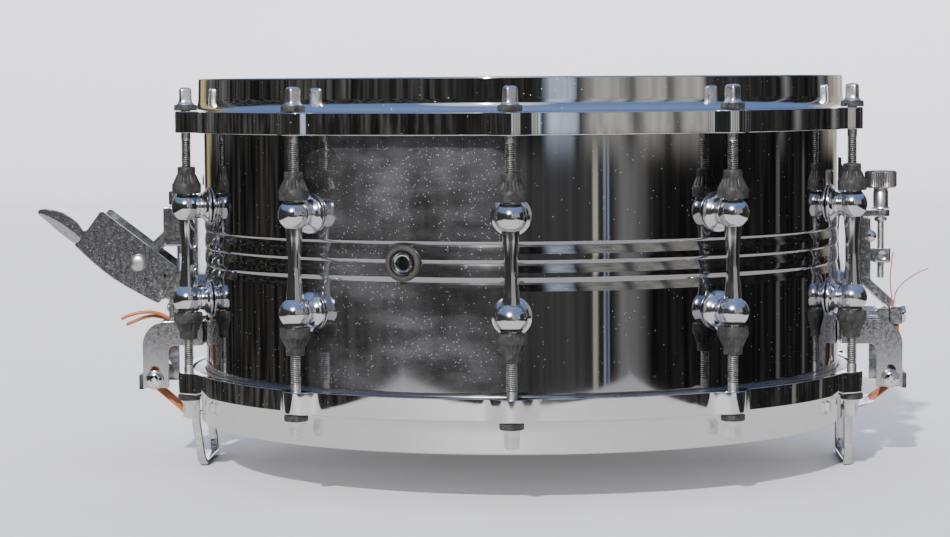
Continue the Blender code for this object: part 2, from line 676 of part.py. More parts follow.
def build_guide_bar(name, material, parent):
    """The round bar that the cords run over, with the screws that hold it in the cheeks' slots."""
    inside, outside = GUIDE_CHEEK[0] - CLEARANCE, GUIDE_CHEEK[1] + CLEARANCE
    half = [(GUIDE_BAR_RADIUS, inside), (GUIDE_SCREW_RADIUS, inside), (GUIDE_SCREW_RADIUS, outside)]
    half += [(GUIDE_HEAD_RADIUS, outside), (GUIDE_HEAD_RADIUS - 0.001, outside + 0.0024), (0, outside + 0.0024)]
    profile = [(r, -h) for r, h in reversed(half)] + half
    bar = turned(profile, ROUND_STEPS, (GUIDE_BAR[0], 0, GUIDE_BAR[1]), "Y")
    finish(bar, name, material, parent)


def build_guard(name, lean, material, parent):
    """A snare guard: a bar bent to a stirrup, whose flat foot the drum stands on."""
    half = GUARD_THICK / 2
    bend_y, bend_z = GUARD_LEG_Y - GUARD_BEND, GUARD_FOOT + half + GUARD_BEND
    path = [(-GUARD_LEG_Y, GUARD_TOP), (-GUARD_LEG_Y, GUARD_KNEE)]
    path += arc((-bend_y, bend_z), GUARD_BEND, 180, 270, 3) + arc((bend_y, bend_z), GUARD_BEND, 270, 360, 3)
    path += [(GUARD_LEG_Y, GUARD_KNEE), (GUARD_LEG_Y, GUARD_TOP)]
    outline = [(y, max(z, GUARD_FOOT)) for y, z in strip(path, GUARD_THICK)]
    guard = prism(outline, GUARD_INNER, GUARD_OUTER, "X")
    for vertex in guard.data.vertices:
        vertex.co.x -= lean * max(GUARD_KNEE - vertex.co.z, 0)
    finish(guard, name, material, parent)


def build_snares(material, parent):
    """The bed of coiled snare wires between its two soldered end clips, as one flat band."""
    top = [(-0.1910, -0.0940), (-0.1840, -0.0916), (-0.1760, SNARE_TOP), (0.1860, SNARE_TOP), (0.1972, -0.0866)]
    bottom = [(0.1976, -0.0879), (0.1864, -0.0914), (0.1760, SNARE_BOTTOM), (-0.1760, SNARE_BOTTOM)]
    bottom += [(-0.1836, -0.0931), (-0.1906, -0.0954)]
    snares = prism(top + bottom, -SNARE_HALF_WIDTH, SNARE_HALF_WIDTH)
    finish(snares, "snare_wires", material, parent)


def cord_route(clip_end, leave, clamp_end):
    """The cords' side view: from the snare clip under and round the guide bar, then up to the clamp."""
    turn = GUIDE_BAR_RADIUS + CORD_RADIUS + 2 * CLEARANCE
    return [clip_end] + arc(GUIDE_BAR, turn, leave, 0, 5) + [clamp_end]


def build_cord_band(name, route, material, parent):
    """Four cords side by side, as one band as thick as a cord."""
    band = prism(strip(route, 2 * CORD_RADIUS), -CORD_SPREAD, CORD_SPREAD)
    finish(band, name, material, parent)


def build_cords(orange, copper, strainer_side, butt_side):
    strainer_route = cord_route((0.1915, -0.0953), -54, (0.1978, STRAINER_CLAMP_Z[0] - 2 * CLEARANCE))
    build_cord_band("strainer_cords", strainer_route, orange, strainer_side)
    butt_route = cord_route((0.1983, -0.0868), -70, (0.2113, BUTT_CLAMP_Z[0] - 2 * CLEARANCE))
    build_cord_band("butt_cords", butt_route, orange, butt_side)
    exit_out = STRAINER_CLAMP[1] + 2 * CLEARANCE
    first = [(exit_out, 0.0060, -0.0405), (0.2036, 0.0062, -0.0380), (0.2094, 0.0066, -0.0364)]
    first += [(0.2166, 0.0070, -0.0370), (0.2228, 0.0074, -0.0389), (0.2262, 0.0076, -0.0404)]
    second = [(exit_out, 0.0020, -0.0418), (0.2042, 0.0022, -0.0400), (0.2096, 0.0024, -0.0392)]
    second += [(0.2150, 0.0026, -0.0404), (0.2200, 0.0028, -0.0424), (0.2242, 0.0030, -0.0441)]
    tube("strainer_cord_tail_a", first, CORD_RADIUS, orange, strainer_side)
    tube("strainer_cord_tail_b", second, CORD_RADIUS, orange, strainer_side)
    start = BUTT_CLAMP_Z[1] + CLEARANCE
    upright = [(0.2082, -0.0087, start), (0.2078, -0.0088, -0.0290), (0.2071, -0.0090, -0.0235)]
    upright += [(0.2070, -0.0094, -0.0170), (0.2076, -0.0097, -0.0100), (0.2083, -0.0099, -0.0044)]
    leaning = [(0.2088, -0.0099, start), (0.2093, -0.0100, -0.0300), (0.2106, -0.0102, -0.0255)]
    leaning += [(0.2152, -0.0104, -0.0204), (0.2216, -0.0106, -0.0162), (0.2278, -0.0108, -0.0134)]
    tube("butt_wire_tail_a", upright, TAIL_WIRE_RADIUS, copper, butt_side)
    tube("butt_wire_tail_b", leaning, TAIL_WIRE_RADIUS, copper, butt_side)


# ---------------------------------------------------------------- the drum


def build_drum():
    clear_scene()
    nickel = make_material("black_nickel", (0.09, 0.09, 0.10), 1.0, 0.06)
    chrome = make_material("chrome", (0.80, 0.81, 0.83), 1.0, 0.05)
    zinc = make_material("zinc_plate", (0.66, 0.67, 0.69), 1.0, 0.25)
    steel = make_material("steel", (0.55, 0.55, 0.56), 1.0, 0.35)
    coated = make_material("coated_film", (0.86, 0.86, 0.84), 0.0, 0.65)
    clear = make_material("clear_film", (0.80, 0.82, 0.83), 0.0, 0.20)
    orange = make_material("orange_cord", (0.62, 0.25, 0.06), 0.0, 0.40)
    copper = make_material("copper_wire", (0.50, 0.22, 0.16), 0.6, 0.40)

    middle = make_empty("drum_middle", None, (0, 0, -HEAD_Z))
    strainer_side = make_empty("strainer_side", middle, turn=math.pi)
    butt_side = make_empty("butt_side", middle)

    build_shell(nickel, middle)
    build_vent(chrome, middle)
    build_head("batter_head", 1, coated, middle)
    build_head("snare_head", -1, clear, middle)
    build_hoop("batter_hoop", 1, chrome, middle)
    build_hoop("snare_hoop", -1, chrome, middle)
    build_lugs(chrome, middle)
    build_tension_rods("batter_rod", 1, chrome, middle)
    build_tension_rods("snare_rod", -1, chrome, middle)

    build_strainer_base(zinc, strainer_side)
    build_lever(chrome, strainer_side)
    build_lever_pin(steel, strainer_side)
    build_link(zinc, strainer_side)
    build_strainer_slide(chrome, strainer_side)
    build_tension_knob(steel, strainer_side)
    build_strainer_clamp(zinc, strainer_side)

    build_butt_base(zinc, butt_side)
    build_butt_knob(steel, butt_side)
    build_butt_slide(zinc, butt_side)

    for name, side, lean in (("strainer", strainer_side, GUARD_LEAN), ("butt", butt_side, 0.0)):
        build_guide(f"{name}_guide", zinc, side)
        build_guide_bar(f"{name}_guide_bar", steel, side)
        build_guard(f"{name}_guard", lean, zinc, side)
    build_snares(steel, middle)
    build_cords(orange, copper, strainer_side, butt_side)
    bpy.context.view_layer.update()


build_drum()
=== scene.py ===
"""Fine surfaces and materials for the snare drum, laid over its CAD frame, and the studio it stands in.

Shapes are worked out in millimetres from the middle plane of the drum's shell. The shell box of the CAD
frame says where that plane is. A side's pieces (strainer or butt) are built with +X pointing outward.
"""

import json
import math
from functools import partial

import bmesh
import bpy
from mathutils import Matrix, Vector, noise

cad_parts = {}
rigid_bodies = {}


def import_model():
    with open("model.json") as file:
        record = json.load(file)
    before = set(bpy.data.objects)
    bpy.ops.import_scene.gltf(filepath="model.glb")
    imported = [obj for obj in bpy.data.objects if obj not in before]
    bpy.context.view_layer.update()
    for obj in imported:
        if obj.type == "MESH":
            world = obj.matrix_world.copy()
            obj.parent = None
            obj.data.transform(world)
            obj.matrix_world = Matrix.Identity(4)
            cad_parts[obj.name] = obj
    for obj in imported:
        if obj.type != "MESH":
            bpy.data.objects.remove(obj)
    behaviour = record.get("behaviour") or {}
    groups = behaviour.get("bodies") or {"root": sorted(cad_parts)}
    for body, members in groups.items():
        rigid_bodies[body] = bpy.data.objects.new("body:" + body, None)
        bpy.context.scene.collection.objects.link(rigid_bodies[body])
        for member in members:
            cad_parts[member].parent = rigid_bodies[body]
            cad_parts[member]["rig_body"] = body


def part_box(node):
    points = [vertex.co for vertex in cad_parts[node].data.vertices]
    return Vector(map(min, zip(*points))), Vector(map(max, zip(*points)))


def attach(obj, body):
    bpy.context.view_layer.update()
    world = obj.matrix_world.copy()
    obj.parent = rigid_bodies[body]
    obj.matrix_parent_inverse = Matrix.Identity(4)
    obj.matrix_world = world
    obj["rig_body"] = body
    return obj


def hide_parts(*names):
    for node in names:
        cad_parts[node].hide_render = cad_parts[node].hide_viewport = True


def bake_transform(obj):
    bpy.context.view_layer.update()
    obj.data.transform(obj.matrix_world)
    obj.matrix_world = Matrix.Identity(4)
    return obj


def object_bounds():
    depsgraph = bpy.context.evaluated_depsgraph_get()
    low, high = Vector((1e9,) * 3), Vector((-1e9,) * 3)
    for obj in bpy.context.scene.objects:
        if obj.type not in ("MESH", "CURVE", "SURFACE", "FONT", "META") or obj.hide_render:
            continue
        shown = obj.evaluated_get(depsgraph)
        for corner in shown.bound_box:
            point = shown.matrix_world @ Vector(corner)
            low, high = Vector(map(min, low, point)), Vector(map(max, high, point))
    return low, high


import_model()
cad_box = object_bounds()

shell_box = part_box("shell")
MIDDLE = (shell_box[0][2] + shell_box[1][2]) / 2
FLOOR = cad_box[0][2]
DRUM = Matrix.Translation((0, 0, MIDDLE))
BUTT = DRUM
STRAINER = DRUM @ Matrix.Rotation(math.pi, 4, "Z")

LUG_COUNT = 10
ROD_CIRCLE = 190.2
SHELL_RADIUS = 177.8
VENT_ANGLE = math.radians(-18)
CONE_FLUTES = 16
EAR_REACH = 5.8
EAR_ANGLE = 0.11
FLANGE_RADIUS = 188.5
TO_ROD = Matrix.Translation((0, -ROD_CIRCLE, 0))
STRAINER_AXIS = Matrix.Translation((193.2, 0, 0))
BUTT_AXIS = Matrix.Translation((202.4, 0, 0))
GUIDE_BAR = (206.0, -74.0)
TOWARD_SUN = (-0.162, -0.846, 0.507)
BROAD_CORNERS = 8
PLAIN_FACES = 400


# ---------------------------------------------------------------- shapes, as (points, faces) in millimetres


def rounded(points, radius, steps=4, closed=False):
    """A line of 2-D points with its corners rounded. The radius is one number or one for each point."""
    count = len(points)
    radii = [radius] * count if isinstance(radius, (int, float)) else radius
    found = []
    for index, point in enumerate(points):
        if not closed and index in (0, count - 1) or radii[index] <= 0:
            found.append(tuple(point))
            continue
        here = Vector(point)
        back = Vector(points[index - 1]) - here
        on = Vector(points[(index + 1) % count]) - here
        angle = back.angle(on)
        reach = radii[index] / math.tan(angle / 2)
        reach = min(reach, back.length * 0.49, on.length * 0.49)
        start, end = here + back.normalized() * reach, here + on.normalized() * reach
        for step in range(steps + 1):
            t = step / steps
            found.append(tuple(start * (1 - t) ** 2 + here * 2 * t * (1 - t) + end * t**2))
    return found


def arc(centre, radius, start, end, steps):
    angles = [math.radians(start + (end - start) * step / steps) for step in range(steps + 1)]
    return [(centre[0] + radius * math.cos(a), centre[1] + radius * math.sin(a)) for a in angles]


def lathe(profile, steps, radius_at=None):
    """Turns (radius, height) points round Z. radius_at(index, angle, radius) may shape each ring."""
    points, rings = [], []
    for index, (radius, height) in enumerate(profile):
        if radius <= 0:
            rings.append([len(points)] * steps)
            points.append((0, 0, height))
            continue
        rings.append(list(range(len(points), len(points) + steps)))
        for step in range(steps):
            a = 2 * math.pi * step / steps
            r = radius_at(index, a, radius) if radius_at else radius
            points.append((r * math.sin(a), -r * math.cos(a), height))
    faces = []
    pairs = list(zip(rings, rings[1:]))
    if profile[0][0] > 0 and profile[-1][0] > 0:
        pairs.append((rings[-1], rings[0]))
    for lower, upper in pairs:
        for step in range(steps):
            after = (step + 1) % steps
            corners = dict.fromkeys((lower[step], lower[after], upper[after], upper[step]))
            if len(corners) > 2:
                faces.append(tuple(corners))
    return points, faces


def round_bar(low, high, radius, sides):
    return lathe([(0, low), (radius, low), (radius, high), (0, high)], sides)


def rectangle(left, right, bottom, top):
    return [(left, bottom), (right, bottom), (right, top), (left, top)]


def loft(loops, capped=True, ring=False):
    """Joins loops of as many 3-D points each. The last joins the first in a ring, or both ends are capped."""
    size = len(loops[0])
    points = [tuple(p) for loop in loops for p in loop]
    faces = []
    rows = len(loops)
    for row in range(rows if ring else rows - 1):
        for index in range(size):
            after = (index + 1) % size
            below, above = row * size, (row + 1) % rows * size
            faces.append((below + index, below + after, above + after, above + index))
    if capped and not ring:
        faces.append(tuple(range(size)))
        faces.append(tuple(range((rows - 1) * size, rows * size)))
    return points, faces


def inset(outline, width):
    """An outline moved inward by a small width, corner by corner."""
    area = sum(a[0] * b[1] - b[0] * a[1] for a, b in zip(outline, outline[1:] + outline[:1]))
    side = 1 if area > 0 else -1
    found = []
    for index, point in enumerate(outline):
        here = Vector(point)
        on = (Vector(outline[(index + 1) % len(outline)]) - here).normalized()
        back = (here - Vector(outline[index - 1])).normalized()
        normal_on = Vector((-on.y, on.x)) * side
        normal_back = Vector((-back.y, back.x)) * side
        half = normal_on + normal_back
        if half.length < 1e-6:
            half = normal_on
        half = half.normalized()
        found.append(tuple(here + half * min(width / max(half.dot(normal_on), 0.35), width * 2)))
    return found


def prism(outline, low, high, axis="Y", edge=0.35):
    """An outline given some depth along an axis, with its edges rounded over."""
    slot = "XYZ".index(axis)
    levels = [(low, edge), (low + edge * 0.3, edge * 0.3), (low + edge, 0)]
    levels += [(high - edge, 0), (high - edge * 0.3, edge * 0.3), (high, edge)]
    if edge <= 0:
        levels = [(low, 0), (high, 0)]
    loops = []
    for level, width in levels:
        line = inset(outline, width) if width else outline
        loop = []
        for point in line:
            place = list(point)
            place.insert(slot, level)
            loop.append(place)
        loops.append(loop)
    return loft(loops)


def block(x, y, z, edge=0.35, corner=0.0):
    """A box with rounded-over edges along Y, and its other corners rounded too if asked."""
    outline = rectangle(*x, *z)
    if corner:
        outline = rounded(outline, corner, 4, True)
    return prism(outline, y[0], y[1], "Y", edge)


def pair(outline, near, far, edge):
    """Two like plates, one on each side of the middle plane Y = 0."""
    return [prism(outline, *sorted((side * near, side * far)), "Y", edge) for side in (-1, 1)]


def strip_outline(path, thickness):
    sides = ([], [])
    for index, point in enumerate(path):
        ahead = Vector(path[min(index + 1, len(path) - 1)]) - Vector(path[max(index - 1, 0)])
        across = Vector((-ahead.y, ahead.x)).normalized() * thickness / 2
        sides[0].append(tuple(Vector(point) + across))
        sides[1].append(tuple(Vector(point) - across))
    return sides[0] + sides[1][::-1]


def smooth_path(points, steps):
    """A Catmull-Rom curve through the points."""
    line = [Vector(p) for p in points]
    line = [2 * line[0] - line[1]] + line + [2 * line[-1] - line[-2]]
    found = []
    for index in range(1, len(line) - 2):
        p0, p1, p2, p3 = line[index - 1 : index + 3]
        for step in range(steps):
            t = step / steps
            bend = 2 * p1 + (p2 - p0) * t + (2 * p0 - 5 * p1 + 4 * p2 - p3) * t**2
            found.append((bend + (3 * p1 - p0 - 3 * p2 + p3) * t**3) / 2)
    found.append(line[-2])
    return found


def tube_loops(path, radius, sides=10, twist=None):
    """A cord's rings along 3-D points, its ends domed. twist is (strands, depth, pitch) of a laid one."""
    line = [Vector(p) for p in path]
    reached = [0.0]
    for a, b in zip(line, line[1:]):
        reached.append(reached[-1] + (b - a).length)
    loops = []
    side = None
    for index, point in enumerate(line):
        ahead = (line[min(index + 1, len(line) - 1)] - line[max(index - 1, 0)]).normalized()
        if side is None:
            side = ahead.orthogonal().normalized()
        side = (side - ahead * side.dot(ahead)).normalized()
        other = ahead.cross(side)
        ends = [(0, 1.0)]
        if index == 0:
            ends = [(-0.5, 0.55), (-0.25, 0.9), (0, 1.0)]
        if index == len(line) - 1:
            ends = [(0, 1.0), (0.25, 0.9), (0.5, 0.55)]
        for shift, share in ends:
            loop = []
            for step in range(sides):
                a = 2 * math.pi * step / sides
                r = radius * share
                if twist:
                    strands, depth, pitch = twist
                    r *= 1 - depth * (
                        0.5 - 0.5 * math.cos(strands * (a - 2 * math.pi * reached[index] / pitch))
                    )
                loop.append(point + ahead * shift * radius + (side * math.cos(a) + other * math.sin(a)) * r)
            loops.append(loop)
    return loops


def tube(path, radius, sides=10, twist=None):
    return loft(tube_loops(path, radius, sides, twist))


def thread(low, high, major, minor, pitch, sides=24):
    """A screw thread between two heights: one ridge wound round the bar, chamfered and capped at its ends."""
    shares = ((0.0, 1.0), (0.26, 1.0), (0.50, 0.0), (0.76, 0.0))
    rows = (int((high - low) / pitch) + 3) * len(shares)
    points = []
    for row in range(rows):
        part, share = shares[row % len(shares)]
        for step in range(sides):
            a = 2 * math.pi * step / sides
            z = low + (row // len(shares) - 1.5 + part + step / sides) * pitch
            held = min(max(z, low), high)
            crest = min(major, minor + 1.1 * min(held - low, high - held))
            r = minor + (crest - minor) * share
            points.append((r * math.sin(a), -r * math.cos(a), held))
    faces = []
    turn = len(shares) * sides
    for first in range(len(points) - turn - sides):
        after = first + 1 if first % sides < sides - 1 else first + 1 - sides + turn
        if after + sides < len(points):
            faces.append((first, after, after + sides, first + sides))
    core = round_bar(low, high, minor * 0.995, sides)
    return together((points, faces), core)


def moved(shape, matrix):
    points, faces = shape
    return [tuple(matrix @ Vector(p)) for p in points], faces


def together(*shapes):
    points, faces = [], []
    for more_points, more_faces in shapes:
        start = len(points)
        points += list(more_points)
        faces += [tuple(i + start for i in face) for face in more_faces]
    return points, faces


def along(axis, centre=(0, 0, 0)):
    """The matrix that stands a shape turned round Z along another axis instead, with its foot at a point."""
    turns = {
        "X": Matrix.Rotation(math.pi / 2, 4, "Y"),
        "-X": Matrix.Rotation(-math.pi / 2, 4, "Y"),
        "Y": Matrix.Rotation(-math.pi / 2, 4, "X"),
        "-Y": Matrix.Rotation(math.pi / 2, 4, "X"),
        "Z": Matrix(),
        "-Z": Matrix.Rotation(math.pi, 4, "X"),
    }
    return Matrix.Translation(centre) @ turns[axis]


# ---------------------------------------------------------------- objects


def raw_mesh(name, shape):
    points, faces = shape
    mesh = bpy.data.meshes.new(name)
    mesh.from_pydata([tuple(p) for p in points], [], faces)
    return mesh


def linked(name, data):
    made = bpy.data.objects.new(name, data)
    bpy.context.scene.collection.objects.link(made)
    return made


def new_mesh(name, shape, angle=38):
    """A shape's mesh. Plain shapes with broad many-cornered faces keep those flat in their shading."""
    faces = shape[1]
    mesh = raw_mesh(name, shape)
    mesh.validate()
    broad = any(len(face) > BROAD_CORNERS for face in faces) and len(faces) < PLAIN_FACES
    return carve(name, mesh, angle, (), broad)


def tidy(mesh, angle):
    bm = bmesh.new()
    bm.from_mesh(mesh)
    bmesh.ops.remove_doubles(bm, verts=bm.verts, dist=0.002)
    bmesh.ops.recalc_face_normals(bm, faces=bm.faces)
    bm.to_mesh(mesh)
    bm.free()
    mesh.shade_smooth()
    mesh.set_sharp_from_angle(angle=math.radians(angle))


def carve(name, mesh, angle, tools=(), flat=False):
    """A tidy mesh after exact Booleans; flat work keeps its broad faces flat in its shading."""
    tidy(mesh, angle)
    base = linked("scratch", mesh)
    others = []
    for operation, shape in tools:
        other = raw_mesh("tool", shape)
        tidy(other, angle)
        others.append(linked("scratch", other))
        step = base.modifiers.new("cut", "BOOLEAN")
        step.operation = operation
        step.solver = "EXACT"
        step.object = others[-1]
    if tools:
        mesh = evaluated(base)
        tidy(mesh, angle)
        for gone in [base] + others:
            bpy.data.objects.remove(gone, do_unlink=True)
        base = linked("scratch", mesh)
    if flat:
        base.modifiers.new("even", "WEIGHTED_NORMAL").keep_sharp = True
        mesh = evaluated(base)
    mesh.name = name
    bpy.data.objects.remove(base, do_unlink=True)
    return mesh


def evaluated(made):
    bpy.context.view_layer.update()
    return bpy.data.meshes.new_from_object(made.evaluated_get(bpy.context.evaluated_depsgraph_get()))


def carved(shape, cutters=(), joined=(), angle=38):
    """The mesh of a shape with others joined to it and then cut from it, in millimetres."""
    tools = [("UNION", other) for other in joined] + [("DIFFERENCE", other) for other in cutters]
    return carve("carved", raw_mesh("carved", shape), angle, tools, True)


def piece(name, source, material, body, nodes=(), place=DRUM, angle=38):
    """A visual piece: a shape or mesh in millimetres, put in the frame, riding a body, standing for nodes."""
    mesh = source if isinstance(source, bpy.types.Mesh) else new_mesh(name, source, angle)
    if not mesh.get("metres"):
        mesh.transform(Matrix.Scale(0.001, 4))
        mesh["metres"] = True
    made = linked(name, mesh)
    if not mesh.materials:
        mesh.materials.append(material)
    made.matrix_world = place
    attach(made, body)
    if nodes:
        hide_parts(*nodes)
    return made


# ---------------------------------------------------------------- materials


def dimmed(colour, share):
    return tuple(c * share for c in colour)


class Look:
    """A Principled material whose inputs are worked out by nodes in the piece's own coordinates."""

    def __init__(self, name, slot, colour, metallic, roughness):
        self.material = bpy.data.materials.new(name)
        self.material.use_nodes = True
        self.tree = self.material.node_tree
        self.shader = self.tree.nodes["Principled BSDF"]
        self.shader.inputs["Metallic"].default_value = metallic
        self.shader.inputs["Roughness"].default_value = roughness
        self.shader.inputs["Base Color"].default_value = (*colour, 1)
        self.material.diffuse_color = (*colour, 1)
        self.place = self.tree.nodes.new("ShaderNodeTexCoord").outputs["Object"]

    def node(self, kind, inputs=None, **settings):
        made = self.tree.nodes.new(kind)
        for key, value in settings.items():
            setattr(made, key, value)
        for key, value in (inputs or {}).items():
            if isinstance(value, bpy.types.NodeSocket):
                self.tree.links.new(value, made.inputs[key])
            else:
                made.inputs[key].default_value = value
        return made

    def axes(self):
        return self.node("ShaderNodeSeparateXYZ", {"Vector": self.place}).outputs

    def stretched(self, scale):
        return self.node("ShaderNodeMapping", {"Vector": self.place, "Scale": scale}).outputs["Vector"]

    def noise(self, scale, detail=4.0, roughness=0.55, vector=None):
        inputs = {"Vector": vector or self.place, "Scale": scale, "Detail": detail, "Roughness": roughness}
        return self.node("ShaderNodeTexNoise", inputs).outputs["Fac"]

    def ramp(self, value, stops, mode="LINEAR"):
        made = self.node("ShaderNodeValToRGB", {"Fac": value})
        made.color_ramp.interpolation = mode
        first, second = made.color_ramp.elements[0], made.color_ramp.elements[1]
        for index, (at, level) in enumerate(stops):
            if index < 2:
                stop = (first, second)[index]
                stop.position = at
            else:
                stop = made.color_ramp.elements.new(at)
            stop.color = (*level, 1) if isinstance(level, tuple) else (level, level, level, 1)
        return made.outputs["Color"]

    def span(self, value, low, high, to_low=0.0, to_high=1.0):
        inputs = {0: value, 1: low, 2: high, 3: to_low, 4: to_high}
        return self.node("ShaderNodeMapRange", inputs).outputs["Result"]

    def math(self, operation, a, b=0.0):
        return self.node("ShaderNodeMath", {0: a, 1: b}, operation=operation).outputs[0]

    def plus(self, a, b):
        return self.math("ADD", a, b)

    def times(self, a, b):
        return self.math("MULTIPLY", a, b)

    def mix(self, factor, a, b, blend="MIX"):
        """Two colours mixed, added or multiplied. Each is a socket or three numbers."""
        a, b = [(*item, 1) if isinstance(item, tuple) else item for item in (a, b)]
        inputs = {0: factor, 6: a, 7: b}
        return self.node("ShaderNodeMix", inputs, data_type="RGBA", blend_type=blend).outputs[2]

    def set(self, name, socket):
        self.tree.links.new(socket, self.shader.inputs[name])

    def bump(self, height, strength, distance=0.0002):
        inputs = {"Height": height, "Strength": strength, "Distance": distance}
        self.set("Normal", self.node("ShaderNodeBump", inputs).outputs["Normal"])

    def specks(self, scale, size, share):
        """Scattered dust: small dots in some of the cells of a grid."""
        cells = self.node("ShaderNodeTexVoronoi", {"Vector": self.place, "Scale": scale})
        near = self.math("LESS_THAN", cells.outputs["Distance"], size)
        chosen = self.node("ShaderNodeSeparateColor", {"Color": cells.outputs["Color"]}).outputs[0]
        return self.times(near, self.math("LESS_THAN", chosen, share))


def make_plating(name, slot, colour, shine, dust, wobble=0.02):
    """Plated metal: nearly a mirror, with faint hazing, fine dust and a trace of the casting's unevenness."""
    look = Look(name, slot, colour, 1.0, shine)
    haze = look.noise(38.0, 5.0, 0.6)
    fine = look.noise(900.0, 2.0, 0.5)
    spots = look.specks(900.0, 0.2, dust)
    rough = look.plus(look.span(haze, 0.42, 0.75, shine, shine * 2.6), look.times(fine, shine * 0.5))
    look.set("Roughness", look.plus(rough, look.times(spots, 0.5)))
    tint = look.mix(look.span(haze, 0.35, 0.7), colour, dimmed(colour, 0.93))
    look.set("Base Color", look.mix(look.times(spots, 0.7), tint, (0.85, 0.86, 0.88)))
    look.bump(look.noise(60.0, 2.0, 0.4), wobble, 0.0004)
    return look.material


def make_nickel():
    """The shell's black nickel mirror, with a hazy, finger-marked and dusty patch on its front."""
    base = (0.44, 0.44, 0.45)
    look = Look("black_nickel", "black_nickel", base, 1.0, 0.035)
    axes = look.axes()
    front = look.span(axes["Y"], -0.10, -0.165)
    across = look.math("ABSOLUTE", look.plus(axes["X"], 0.056))
    beside = look.span(across, 0.066, 0.036)
    patch = look.times(front, beside)
    cloud = look.span(look.noise(17.0, 6.0, 0.62), 0.42, 0.68)
    smear = look.span(look.noise(9.0, 7.0, 0.7, look.stretched((1.0, 1.0, 3.5))), 0.40, 0.66)
    haze = look.times(patch, look.plus(look.times(cloud, 0.7), 0.3))
    haze = look.times(haze, look.plus(look.times(smear, 0.75), 0.25))
    haze = look.times(haze, look.span(axes["Z"], -0.07, 0.05, 0.5, 1.15))
    dust = look.plus(look.times(haze, 0.5), 0.02)
    spots = look.specks(1150.0, 0.22, dust)
    dull = look.math("MINIMUM", look.plus(look.times(haze, 0.42), look.times(spots, 0.8)), 1.0)
    look.set("Metallic", look.math("SUBTRACT", 1.0, look.times(dull, 0.55)))
    look.set("Base Color", look.mix(dull, base, (0.45, 0.49, 0.55)))
    look.set(
        "Roughness", look.plus(look.span(dull, 0.0, 1.0, 0.03, 0.55), look.times(look.noise(30.0), 0.03)),
    )
    return look.material


def make_zinc(name, slot, colour=(0.62, 0.63, 0.65)):
    """Bright zinc plate: blotchy in tone and sheen, with a fine rolled grain and dark flecks."""
    look = Look(name, slot, colour, 0.97, 0.16)
    cloud = look.noise(420.0, 3.0, 0.6)
    grain = look.noise(950.0, 4.0, 0.7)
    mottle = look.plus(look.times(cloud, 0.45), look.times(grain, 0.55))
    flecks = look.span(look.noise(1300.0, 2.0, 0.6), 0.60, 0.70)
    tone = look.mix(look.span(mottle, 0.40, 0.60), dimmed(colour, 0.72), colour)
    look.set("Base Color", look.mix(look.times(flecks, 0.5), tone, dimmed(colour, 0.4)))
    look.set("Roughness", look.plus(look.span(mottle, 0.4, 0.6, 0.10, 0.22), look.times(flecks, 0.12)))
    look.bump(grain, 0.05, 0.00008)
    return look.material


def make_steel(name, slot, colour, low, high, grain=(1.0, 1.0, 1.0)):
    """Turned or drawn steel: satin, with fine tool marks along one direction."""
    look = Look(name, slot, colour, 1.0, (low + high) / 2)
    marks = look.noise(900.0, 4.0, 0.6, look.stretched(grain))
    cloud = look.noise(110.0, 4.0, 0.6)
    look.set(
        "Roughness", look.plus(look.span(marks, 0.3, 0.7, low, high), look.span(cloud, 0.4, 0.7, 0.0, 0.06)),
    )
    look.set("Base Color", look.mix(look.span(cloud, 0.35, 0.7), colour, dimmed(colour, 0.78)))
    look.bump(marks, 0.06, 0.00008)
    return look.material


def make_screw():
    """Plated screw steel: bright on its crests and its plain parts, with painted shade darkening the colour
    down in the thread's root.
    """
    colour = (0.86, 0.86, 0.85)
    look = Look("screw_steel", "chrome", colour, 1.0, 0.16)
    axes = look.axes()
    squares = [look.times(axes[axis], axes[axis]) for axis in "XY"]
    reach = look.math("SQRT", look.plus(*squares))
    # painted shade: the colour darkens to near black at the thread's root radius, between the ridges
    look.set("Base Color", look.mix(look.span(reach, 0.00222, 0.00242), (0.16, 0.155, 0.145), colour))
    look.set("Roughness", look.span(look.noise(300.0), 0.3, 0.7, 0.24, 0.34))
    return look.material


def make_sleeve():
    """The dark grey satin of the cones and washers, with scattered patches of dust."""
    colour = (0.016, 0.016, 0.015)
    look = Look("dark_sleeve", "dark_sleeve", colour, 0.0, 0.42)
    look.shader.inputs["Specular IOR Level"].default_value = 0.2
    cloud = look.noise(190.0, 5.0, 0.6)
    dust = look.span(look.noise(520.0, 5.0, 0.7), 0.55, 0.75)
    tone = look.mix(look.span(cloud, 0.35, 0.7), colour, (0.050, 0.049, 0.047))
    look.set("Base Color", look.mix(look.times(dust, 0.35), tone, (0.20, 0.20, 0.19)))
    look.set("Roughness", look.span(cloud, 0.3, 0.7, 0.34, 0.52))
    look.bump(look.noise(1500.0, 2.0, 0.5), 0.12, 0.0001)
    return look.material


def make_film(name, slot, colour, alpha, roughness, spray):
    """A drum head's film. The batter side is sprayed white and finely gritty. The snare side is clear."""
    look = Look(name, slot, colour, 0.0, roughness)
    grit = look.noise(1400.0, 3.0, 0.6)
    cloud = look.noise(26.0, 4.0, 0.6)
    look.set("Base Color", look.mix(look.span(cloud, 0.35, 0.7), colour, dimmed(colour, 0.93)))
    look.set("Roughness", look.span(cloud, 0.3, 0.7, roughness * 0.85, roughness * 1.15))
    look.bump(grit, spray, 0.0001)
    if alpha < 1:
        look.set("Alpha", look.span(cloud, 0.3, 0.7, alpha * 0.85, min(alpha * 1.15, 1.0)))
    look.shader.inputs["IOR"].default_value = 1.5
    return look.material


